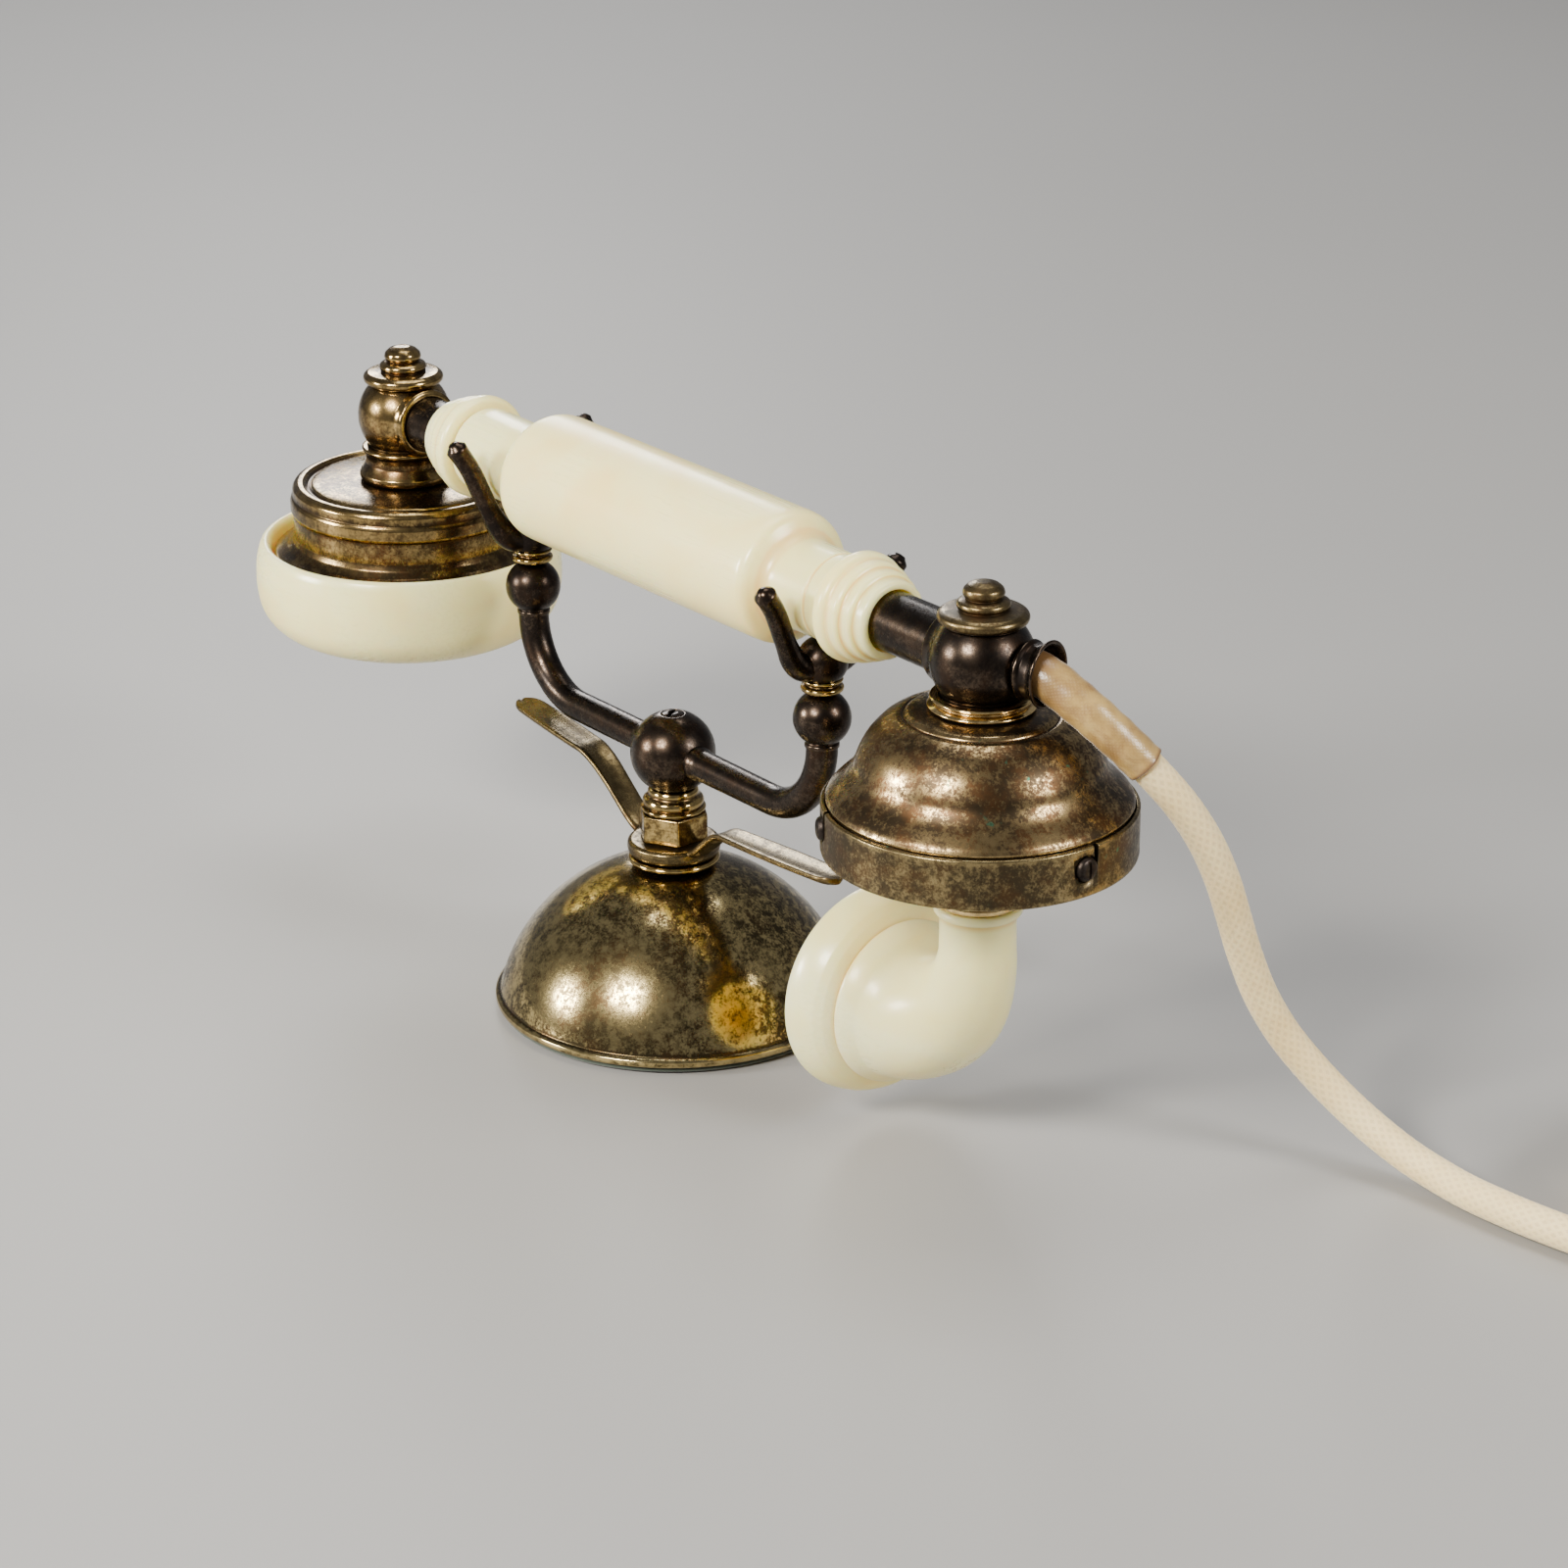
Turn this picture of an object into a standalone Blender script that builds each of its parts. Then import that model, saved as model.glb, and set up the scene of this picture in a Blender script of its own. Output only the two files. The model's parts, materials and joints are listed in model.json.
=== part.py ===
"""A table telephone with a cradle: a weighted brass dome foot, a spring-loaded cradle of two bent
arms with forks, and an ivory-coloured handset with a turned grip, a receiver, a bell-shaped
transmitter and a swivelling mouthpiece horn. A fabric cord leaves the transmitter's side.

The origin is the centre of the foot on the table. +X runs along the handset towards the
transmitter, +Y is away from the user and +Z is up. Lengths in the constants and outlines are
millimetres, and MM turns them into Blender's metres.
"""

import math

import bmesh
import bpy
from mathutils import Matrix, Vector

MM = 0.001
MERGE = 0.00001  # metres
GAP = 0.3  # the gap that neighbouring pieces keep

# Sides of a turned piece, by its size.
LARGE = 24
MEDIUM = 14
SMALL = 10

# Stand
DOME_R = 39.1
DOME_CENTRE_Z = -6.4
DOME_WALL = 1.2
FELT_T = 1.0
STEM_R = 4.6
STEM_HOLE_R = STEM_R + GAP
ROD_R = 2.4
ROD_RUN = 0.07  # running clearance of the rod in its guide
SCREW_CIRCLE_R = 27.0
BRACKET_Z = 15.3
BRACKET_T = 1.6
CONTACT_PIVOT_X = -16.0
CONTACT_Z = 8.8
WING_REACH = 56.5
WING_T = 1.3
WING_Z = 36.2
WING_DISH = 0.5
# Where each wing starts to rise, over what run, by how much, and its slope from there on.
RIGHT_BEND = (6.0, 14.0, 7.9, 0.06)
LEFT_BEND = (7.0, 25.0, 12.6, 0.11)

# Cradle
HUB_Z = 57.24
HUB_R = 9.1
ARM_R = 3.3
ARM_BEND_R = 17.0
FORK_X = 50.75
LOWER_BALL_Z = 80.5
LOWER_BALL_R = 6.0
FORK_BALL_Z = 92.7
FORK_BALL_R = 5.3
PRONG_R = 2.25
PRONG_LEAN = 3.0  # how far the prong tips lean towards the handset's ends

# Handset
AXIS_Z = 107.5
HEAD_X = 100.0
HEAD_R = 10.4
TUBE_R = 6.15
TUBE_END_X = 93.2
TUBE_HOLE_R = TUBE_R + GAP
GRIP_R = 14.0
GRIP_NECK_R = 9.25
GRIP_RIGHT_X = 60.7
GRIP_LEFT_X = -67.8
SOCKET_ANGLE = math.radians(16.7)
BAND_R = 31.1
BAND_TOP = 78.5
BAND_BOTTOM = 68.2
KEYHOLE_Z = 74.2
KEYHOLE_R = 2.8

# Mouthpiece
HORN_Z = 27.1
HORN_BEND_R = 19.6
SEAM_X = 76.0
HORN_WALL = 1.8

# Cord
CORD_R = 3.5
COIL_CENTRE = (221.95, 110.16)
COIL_MID_R = 36.0
COIL_TURNS_HIGH = 2
COIL_TURNS_WIDE = 2


# --------------------------------------------------------------------------- set-up

for old in list(bpy.data.objects):
    bpy.data.objects.remove(old, do_unlink=True)

model = bpy.data.collections.new("cradle_telephone")
bpy.context.scene.collection.children.link(model)
tools = bpy.data.collections.new("cutters")
bpy.context.scene.collection.children.link(tools)


def material(name, colour, roughness, metallic):
    made = bpy.data.materials.new(name)
    made.use_nodes = True
    shader = made.node_tree.nodes["Principled BSDF"]
    shader.inputs["Base Color"].default_value = (*colour, 1.0)
    shader.inputs["Roughness"].default_value = roughness
    shader.inputs["Metallic"].default_value = metallic
    return made


AGED_BRASS = material("aged_brass", (0.30, 0.22, 0.10), 0.35, 1.0)
BRASS = material("bright_brass", (0.72, 0.53, 0.22), 0.2, 1.0)
BRONZE = material("blackened_bronze", (0.06, 0.045, 0.035), 0.35, 1.0)
IVORY = material("ivory_plastic", (0.83, 0.77, 0.60), 0.3, 0.0)
STEEL = material("steel", (0.50, 0.50, 0.50), 0.35, 1.0)
IRON = material("cast_iron", (0.12, 0.12, 0.12), 0.6, 1.0)
FELT = material("felt", (0.03, 0.05, 0.03), 0.95, 0.0)
FIBRE = material("insulating_fibre", (0.25, 0.10, 0.05), 0.6, 0.0)
SILVER = material("nickel_silver", (0.65, 0.63, 0.58), 0.3, 1.0)
SLEEVE = material("woven_sleeve", (0.62, 0.50, 0.27), 0.5, 0.0)
BRAID = material("braided_cotton", (0.80, 0.74, 0.58), 0.8, 0.0)


def joint_empty(name, place, parent=None):
    """An empty on a joint's axis; the pieces of the moving body hang from it."""
    empty = bpy.data.objects.new(name, None)
    model.objects.link(empty)
    empty.location = Vector(place) * MM
    if parent:
        empty.parent = parent
        empty.location = (Vector(place) - Vector(parent.matrix_world.translation) / MM) * MM
    bpy.context.view_layer.update()
    return empty


cradle_lift = joint_empty("cradle_lift", (0, 0, HUB_Z))
handset_lift = joint_empty("handset_lift", (0, 0, AXIS_Z), cradle_lift)
mouthpiece_turn = joint_empty("mouthpiece_turn", (HEAD_X, 0, AXIS_Z), handset_lift)
contact_pivot = joint_empty("contact_pivot", (CONTACT_PIVOT_X, 0, CONTACT_Z))


# --------------------------------------------------------------------------- modelling helpers


def arc(centre_r, centre_z, radius, start, end, steps):
    """Points of an outline along a round stretch, from start to end in degrees."""
    points = []
    for i in range(steps + 1):
        angle = math.radians(start + (end - start) * i / steps)
        points.append((centre_r + radius * math.cos(angle), centre_z + radius * math.sin(angle)))
    return points


def adopt(piece, parent):
    """Hangs a placed piece from an empty without moving it."""
    if parent:
        bpy.context.view_layer.update()
        piece.parent = parent
        piece.matrix_parent_inverse = parent.matrix_world.inverted()
    return piece


def turned(name, outline, finish, sides, place=(0, 0, 0), turn=None, parent=None, home=model):
    """A turned piece: an outline of (radius, height) that runs down the outside, and then up the
    bore if the outline is a ring. It is spun about local Z, turned, and then moved to place."""
    mesh = bpy.data.meshes.new(name)
    points = [(r * MM, 0.0, z * MM) for r, z in outline]
    edges = [(i, i + 1) for i in range(len(points) - 1)]
    if outline[0][0] > 0:
        edges.append((len(points) - 1, 0))
    mesh.from_pydata(points, edges, [])
    piece = bpy.data.objects.new(name, mesh)
    home.objects.link(piece)
    piece.data.materials.append(finish)
    spin = piece.modifiers.new("Spin", "SCREW")
    spin.steps = sides
    spin.render_steps = sides
    spin.use_merge_vertices = True
    spin.merge_threshold = MERGE
    spin.use_smooth_shade = True
    piece.matrix_world = Matrix.Translation(Vector(place) * MM) @ (turn or Matrix.Identity(4))
    return adopt(piece, parent)


def baked(piece):
    """Replaces a piece by the mesh that its modifiers or curve make."""
    bpy.context.view_layer.update()
    shape = piece.evaluated_get(bpy.context.evaluated_depsgraph_get())
    mesh = bpy.data.meshes.new_from_object(shape)
    made = bmesh.new()
    made.from_mesh(mesh)
    bmesh.ops.remove_doubles(made, verts=made.verts, dist=MERGE)
    made.to_mesh(mesh)
    made.free()
    name = piece.name
    finish = piece.data.materials[0]
    home = piece.users_collection[0]
    world = piece.matrix_world.copy()
    parent = piece.parent
    bpy.data.objects.remove(piece, do_unlink=True)
    mesh.name = name
    mesh.materials.clear()
    mesh.materials.append(finish)
    result = bpy.data.objects.new(name, mesh)
    home.objects.link(result)
    result.matrix_world = world
    return adopt(result, parent)


def smooth(points, steps):
    """Points of a smooth curve through the given ones, with steps points to a span."""
    knots = [Vector(p) for p in points]
    knots = [2 * knots[0] - knots[1]] + knots + [2 * knots[-1] - knots[-2]]
    made = []
    for i in range(1, len(knots) - 2):
        a, b, c, d = knots[i - 1 : i + 3]
        for k in range(steps):
            t = k / steps
            made.append(
                0.5 * (2 * b + (c - a) * t + (2 * a - 5 * b + 4 * c - d) * t * t
                       + (3 * b - a - 3 * c + d) * t ** 3)
            )
    made.append(knots[-2])
    return made


def tube(name, points, radius, finish, fineness=2, parent=None, end_scale=1.0, home=model):
    """A round bar along the points, with filled caps. end_scale tapers it evenly."""
    curve = bpy.data.curves.new(name, "CURVE")
    curve.dimensions = "3D"
    curve.bevel_depth = radius * MM
    curve.bevel_resolution = fineness
    curve.use_fill_caps = True
    line = curve.splines.new("POLY")
    line.points.add(len(points) - 1)
    for i, (point, place) in enumerate(zip(line.points, points)):
        point.co = (*(Vector(place) * MM), 1.0)
        point.radius = 1.0 + (end_scale - 1.0) * i / (len(points) - 1)
    piece = bpy.data.objects.new(name, curve)
    home.objects.link(piece)
    piece.data.materials.append(finish)
    return adopt(piece, parent)


def block(name, low, high, finish, parent=None, home=model):
    """A box between two corners."""
    mesh = bpy.data.meshes.new(name)
    size = (Vector(high) - Vector(low)) * MM
    made = bmesh.new()
    bmesh.ops.create_cube(made, size=1.0, matrix=Matrix.Diagonal((*size, 1.0)))
    made.to_mesh(mesh)
    made.free()
    piece = bpy.data.objects.new(name, mesh)
    home.objects.link(piece)
    piece.data.materials.append(finish)
    piece.location = (Vector(high) + Vector(low)) * MM / 2
    return adopt(piece, parent)


def cutter(name, radius, start, end, sides=SMALL):
    """A round cutter between two points."""
    a, b = Vector(start) * MM, Vector(end) * MM
    mesh = bpy.data.meshes.new(name)
    made = bmesh.new()
    bmesh.ops.create_cone(
        made, cap_ends=True, segments=sides, radius1=radius * MM, radius2=radius * MM,
        depth=(b - a).length,
    )
    made.to_mesh(mesh)
    made.free()
    piece = bpy.data.objects.new(name, mesh)
    tools.objects.link(piece)
    turn = (b - a).to_track_quat("Z", "Y").to_matrix().to_4x4()
    piece.matrix_world = Matrix.Translation((a + b) / 2) @ turn
    return hidden(piece)


def hidden(piece):
    piece.hide_render = True
    piece.display_type = "WIRE"
    return piece


def cut(piece, *cutters, operation="DIFFERENCE"):
    for tool in cutters:
        step = piece.modifiers.new(tool.name, "BOOLEAN")
        step.operation = operation
        step.solver = "EXACT"
        step.object = tool
    return piece


def around(angle, radius, z, x=0.0):
    """A point at a compass angle in degrees about a vertical axis at x."""
    a = math.radians(angle)
    return (x + radius * math.cos(a), radius * math.sin(a), z)


ALONG_X = Matrix.Rotation(math.radians(90), 4, "Y")  # local +Z becomes +X
ALONG_MINUS_X = Matrix.Rotation(math.radians(-90), 4, "Y")  # local +Z becomes -X


# --------------------------------------------------------------------------- stand


def make_foot():
    inner = DOME_R - DOME_WALL
    shell = [(38.9, 2.7), (38.9, 1.3), (37.1, 1.3)]
    outside = arc(0, DOME_CENTRE_Z, DOME_R, 82.0, 13.6, 8)
    inside = arc(0, DOME_CENTRE_Z, inner, 13.0, 82.0, 6)
    turned("base_dome", outside + shell + inside, AGED_BRASS, LARGE)
    turned("felt_foot", [(0, FELT_T), (38.0, FELT_T), (38.0, 0), (0, 0)], FELT, LARGE)
    plate = turned("base_plate", [(0, 3.6), (36.3, 3.6), (36.3, 1.3), (0, 1.3)], STEEL, LARGE)
    ballast_outline = [(20, 15), (30.6, 15), (34.3, 3.9), (20, 3.9)]
    ballast = turned("ballast_ring", ballast_outline, IRON, LARGE)
    for i in range(3):
        x, y, _ = around(90 + 120 * i, SCREW_CIRCLE_R, 0)
        hole = cutter(f"base_screw_hole_{i}", 1.9, (x, y, 0), (x, y, 11))
        sink = cutter(f"base_screw_sink_{i}", 3.5, (x, y, 0), (x, y, 2.7))
        cut(plate, hole, sink)
        cut(ballast, hole)
        screw = [(0, 10.6), (1.6, 10.6), (1.6, 2.4), (3.2, 2.4), (3.2, 1.5), (0, 1.5)]
        turned(f"base_screw_{i + 1}", screw, STEEL, 12, (x, y, 0))
    make_switch()


def make_switch():
    bracket = block(
        "switch_bracket", (-7, -28, BRACKET_Z), (7, 28, BRACKET_Z + BRACKET_T), FIBRE
    )
    cut(bracket, cutter("bracket_rod_hole", ROD_R + GAP, (0, 0, 15), (0, 0, 18)))
    pile = block("contact_block", (-19, -5, 3.9), (-13.2, 5, 11.1), FIBRE)
    channel = block("contact_channel", (-20, -3.4, 8.1), (-12, 3.4, 12), FIBRE, home=tools)
    cut(pile, hidden(channel))
    block("contact_blade", (CONTACT_PIVOT_X - 2.5, -3, CONTACT_Z - 0.2),
          (5.5, 3, CONTACT_Z + 0.2), SILVER, contact_pivot)
    block("fixed_contact", (-19, -5, 11.4), (-3.6, 5, 11.7), SILVER)
    turns = 4
    per_turn = 9
    low, high = 17.75, 23.2
    steps = turns * per_turn
    spiral = []
    for i in range(steps + 1):
        angle = 2 * math.pi * i / per_turn
        height = low + (high - low) * i / steps
        spiral.append((3.7 * math.cos(angle), 3.7 * math.sin(angle), height))
    tube("return_spring", spiral, 0.45, STEEL, 1)


def make_stem():
    bore = ROD_R + ROD_RUN
    stem = [(STEM_R, 46.9), (STEM_R, 30.2), (8.0, 30.2), (8.0, 28.9), (bore, 28.9), (bore, 46.9)]
    turned("guide_stem", stem, BRASS, MEDIUM)
    turned("stem_washer", [(8.6, 34.2), (9.9, 33.6), (9.9, 32.9), (STEM_HOLE_R, 32.9),
                           (STEM_HOLE_R, 34.2)], BRASS, MEDIUM)
    nut = turned("hex_nut", [(0, 44.2), (7.3, 44.2), (7.9, 43.7), (7.9, 38.4), (7.3, 37.9), (0, 37.9)],
                 BRASS, 6)
    nut.modifiers["Spin"].use_smooth_shade = False
    cut(nut, cutter("nut_bore", STEM_HOLE_R, (0, 0, 37), (0, 0, 45), MEDIUM))
    collar = [(4.3, 49.6), (5.0, 49.3), (5.4, 48.6), (5.4, 48.0), (6.3, 47.2), (6.6, 46.4),
              (6.3, 45.6), (6.9, 45.1), (6.9, 44.5), (STEM_HOLE_R, 44.5), (STEM_HOLE_R, 47.3),
              (ROD_R + GAP, 47.3), (ROD_R + GAP, 49.6)]
    turned("neck_collar", collar, BRASS, MEDIUM)


def wing_height(x, bend):
    """Height of the finger wing's middle at distance x from the stem: a steep rise, then a gentle one."""
    start, run, rise, slope = bend
    risen = min(max((x - start) / run, 0.0), 1.0)
    return WING_Z + rise * risen * risen * (3 - 2 * risen) + slope * max(x - start - run, 0.0)


def wing_half_width(x):
    """Half width of the wing: a little waist, then a paddle with a round end."""
    paddle = 3.1 + 0.6 * math.sin(math.pi * min(max((x - 20) / 40, 0), 1))
    left = WING_REACH - x
    return paddle * math.sqrt(max(1 - (1 - min(left / 4.2, 1.0)) ** 2, 0.01))


def make_wings():
    ring = [(9.4, 37.6), (9.9, 37.0), (9.9, 35.1), (9.4, 34.5), (STEM_HOLE_R, 34.5),
            (STEM_HOLE_R, 37.6)]
    wings = turned("finger_wings", ring, BRASS, MEDIUM)
    stations = [8.0, 11, 14, 17, 20, 24, 28, 32, 36, 41, 46, 50, 52.5, 54.2, 55.6, WING_REACH]
    for side, label, bend in ((1, "right", RIGHT_BEND), (-1, "left", LEFT_BEND)):
        mesh = bpy.data.meshes.new(f"wing_{label}")
        made = bmesh.new()
        rows = []
        for x in stations:
            row = []
            for across in (-1.0, -0.5, 0.0, 0.5, 1.0):
                y = across * wing_half_width(x)
                dish = WING_DISH * across * across * min((x - stations[0]) / 12.0, 1.0)
                row.append(made.verts.new(Vector((x * side, y * side, wing_height(x, bend) + dish)) * MM))
            rows.append(row)
        for a, b in zip(rows, rows[1:]):
            for i in range(4):
                made.faces.new((a[i], b[i], b[i + 1], a[i + 1]))
        made.to_mesh(mesh)
        made.free()
        strip = bpy.data.objects.new(f"wing_{label}", mesh)
        tools.objects.link(strip)
        thick = strip.modifiers.new("Thickness", "SOLIDIFY")
        thick.thickness = WING_T * MM
        thick.offset = 0.0
        cut(wings, hidden(strip), operation="UNION")


# --------------------------------------------------------------------------- cradle


def arm_points(side):
    """The arm's middle line: level from the hub, round the bend, then up to the lower ball."""
    corner = FORK_X - ARM_BEND_R
    points = [(6.6, 0, HUB_Z), (corner, 0, HUB_Z)]
    for i in range(1, 9):
        a = math.radians(90 * i / 8)
        points.append((corner + ARM_BEND_R * math.sin(a), 0, HUB_Z + ARM_BEND_R * (1 - math.cos(a))))
    points.append((FORK_X, 0, LOWER_BALL_Z - LOWER_BALL_R + 0.4))
    return [(x * side, y, z) for x, y, z in points]


def make_cradle():
    rod = [(0, 54.7), (ROD_R, 54.7), (ROD_R, 25.4), (4.6, 25.2), (4.6, 24.0), (ROD_R, 24.0),
           (ROD_R, 10.1), (1.6, 9.4), (0, 9.4)]
    turned("plunger_rod", rod, STEEL, MEDIUM, parent=cradle_lift)
    hub = [(0, 63.4), (2.6, 63.4), (2.6, 65.95)]
    hub += arc(0, HUB_Z, HUB_R, 72.5, -48.0, 8)
    hub += [(5.5, 50.1), (5.2, 49.9), (ROD_R + GAP, 49.9), (ROD_R + GAP, 55.0), (0, 55.0)]
    hub = turned("cradle_hub", hub, BRONZE, MEDIUM, parent=cradle_lift)
    screw = [(0, 66.1), (2.0, 65.7), (2.3, 65.2), (2.3, 63.7), (0, 63.7)]
    screw = turned("hub_screw", screw, BRONZE, SMALL, parent=cradle_lift)
    slot = block("hub_screw_slot", (-0.35, -4, 65.2), (0.35, 4, 67), BRONZE, home=tools)
    cut(screw, hidden(slot))
    for side, label in ((1, "right"), (-1, "left")):
        cut(hub, cutter(f"arm_socket_{label}", ARM_R + GAP, (6.2 * side, 0, HUB_Z),
                        (14 * side, 0, HUB_Z)))
        tube(f"arm_{label}", arm_points(side), ARM_R, BRONZE, 2, cradle_lift)
        x = FORK_X * side
        ball = arc(0, LOWER_BALL_Z, LOWER_BALL_R, 64.0, -62.0, 6)
        turned(f"lower_ball_{label}", [(0, ball[0][1])] + ball + [(0, ball[-1][1])],
               BRONZE, SMALL, (x, 0, 0), parent=cradle_lift)
        collar = [(0, 89.3), (3.8, 89.3), (4.3, 88.9), (3.5, 88.0), (4.4, 87.3), (4.4, 86.8),
                  (3.6, 86.2), (0, 86.2)]
        turned(f"fork_collar_{label}", collar, BRASS, SMALL, (x, 0, 0), parent=cradle_lift)
        make_fork(side, label)


def make_fork(side, label):
    x = FORK_X * side
    ball = arc(0, FORK_BALL_Z, FORK_BALL_R, 90.0, -36.0, 6)
    fork = turned(f"fork_{label}", ball + [(0, ball[-1][1])], BRONZE, SMALL, (x, 0, 0),
                  parent=cradle_lift)
    lift = 3.0 if side < 0 else 0.0  # the left prongs stand a little taller
    half = [(0, 92.4), (4.6, 92.3), (7.6, 94.6), (9.8, 98.4), (11.8, 102.6 + 0.3 * lift),
            (14.0, 107.0 + 0.7 * lift), (17.3, 111.8 + lift)]
    points = []
    for y, z in [(-y, z) for y, z in reversed(half[1:])] + half:
        lean = PRONG_LEAN * max(z - FORK_BALL_Z, 0) / 19.0
        points.append((x + lean * side, y, z))
    prongs = baked(tube(f"prongs_{label}", smooth(points, 2), PRONG_R, BRONZE, 2, home=tools))
    cut(fork, hidden(prongs), operation="UNION")


# --------------------------------------------------------------------------- handset


def make_grip():
    outline = [
        (9.0, GRIP_RIGHT_X), (GRIP_NECK_R, GRIP_RIGHT_X - 0.4), (GRIP_NECK_R, 43.8), (9.8, 42.6),
        (11.6, 42.3), (13.2, 41.5), (GRIP_R, 39.8), (GRIP_R, -41.6), (13.2, -43.3), (11.6, -44.1),
        (9.8, -44.4), (GRIP_NECK_R, -45.6), (GRIP_NECK_R, GRIP_LEFT_X + 0.4), (9.0, GRIP_LEFT_X),
        (TUBE_HOLE_R, GRIP_LEFT_X), (TUBE_HOLE_R, GRIP_RIGHT_X),
    ]
    turned("grip", outline, IVORY, MEDIUM, (0, 0, AXIS_Z), ALONG_X, handset_lift)
    steps = [
        (8.0, 11.9), (8.2, 9.8), (9.0, 9.3), (9.2, 6.9), (10.0, 6.4), (10.3, 3.6), (10.9, 3.1),
        (11.3, 2.4), (11.3, 0.6), (10.6, 0.0), (TUBE_HOLE_R, 0.0), (TUBE_HOLE_R, 12.3), (7.6, 12.3),
    ]
    turned("end_collar_right", steps, IVORY, MEDIUM, (GRIP_RIGHT_X + GAP, 0, AXIS_Z), ALONG_X,
           handset_lift)
    turned("end_collar_left", steps, IVORY, MEDIUM, (GRIP_LEFT_X - GAP, 0, AXIS_Z), ALONG_MINUS_X,
           handset_lift)
    bore = TUBE_R - 1.5
    turned("core_tube", [(TUBE_R, TUBE_END_X), (TUBE_R, -TUBE_END_X), (bore, -TUBE_END_X),
                         (bore, TUBE_END_X)], BRONZE, MEDIUM, (0, 0, AXIS_Z), ALONG_X, handset_lift)


def head_outline(foot_z):
    """A ball with a flat top for the finial, a straight neck down to foot_z and a wire bore."""
    ball = arc(0, 0, HEAD_R, 42.3, -38.0, 6)
    return ball + [(8.2, -7.6), (8.2, foot_z), (3.6, foot_z), (3.6, 3.0), (2.3, 3.0), (2.3, 7.0)]


FINIAL = [
    (0, 15.8), (2.8, 15.3), (4.0, 14.0), (3.6, 12.7), (4.9, 12.0), (5.0, 10.7), (8.3, 9.5),
    (8.75, 8.7), (8.2, 7.4), (2.0, 7.4), (2.0, 3.6), (0, 3.6),
]


def make_heads():
    centre = (HEAD_X, 0, AXIS_Z)
    other = (-HEAD_X, 0, AXIS_Z)
    sender = turned("transmitter_head", head_outline(-9.6), BRONZE, MEDIUM, centre,
                    parent=handset_lift)
    hearer = turned("receiver_head", head_outline(-14.6), AGED_BRASS, MEDIUM, other,
                    parent=handset_lift)
    reach = TUBE_END_X + GAP
    cut(sender, cutter("tube_socket_right", TUBE_HOLE_R, (80, 0, AXIS_Z), (reach, 0, AXIS_Z), MEDIUM))
    cut(hearer, cutter("tube_socket_left", TUBE_HOLE_R, (-80, 0, AXIS_Z), (-reach, 0, AXIS_Z), MEDIUM))
    out = Vector((math.cos(SOCKET_ANGLE), math.sin(SOCKET_ANGLE), 0))
    start = Vector(centre)
    cut(sender, cutter("cord_socket_seat", 5.0, start + out * 7.6, start + out * 14, MEDIUM))
    turned("transmitter_finial", FINIAL, BRONZE, MEDIUM, centre, parent=handset_lift)
    turned("receiver_finial", FINIAL, AGED_BRASS, MEDIUM, other, parent=handset_lift)
    socket = [(6.3, 14.8), (6.3, 14.2), (5.6, 13.5), (5.5, 11.2), (5.9, 10.9), (5.9, 10.2),
              (4.7, 9.7), (4.7, 7.9), (3.4, 7.9), (3.4, 9.5), (4.8, 10.2), (4.8, 12.4), (5.8, 14.8)]
    turned("cord_socket", socket, BRONZE, MEDIUM, centre,
           Matrix.Rotation(SOCKET_ANGLE, 4, "Z") @ ALONG_X, handset_lift)
    ring = [(9.6, -6.6), (10.2, -7.0), (10.2, -7.5), (9.4, -8.0), (9.5, -8.4), (10.6, -8.9),
            (10.6, -9.3), (10.2, -9.6), (8.5, -9.6), (8.5, -6.6)]
    turned("transmitter_neck_ring", ring, BRASS, MEDIUM, centre, parent=handset_lift)
    ring = [(9.3, -6.6), (9.8, -7.0), (9.8, -7.8), (9.1, -8.5), (9.0, -10.8), (10.4, -12.8),
            (10.4, -14.2), (10.0, -14.6), (8.5, -14.6), (8.5, -6.6)]
    turned("receiver_neck_ring", ring, AGED_BRASS, MEDIUM, other, parent=handset_lift)


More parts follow.
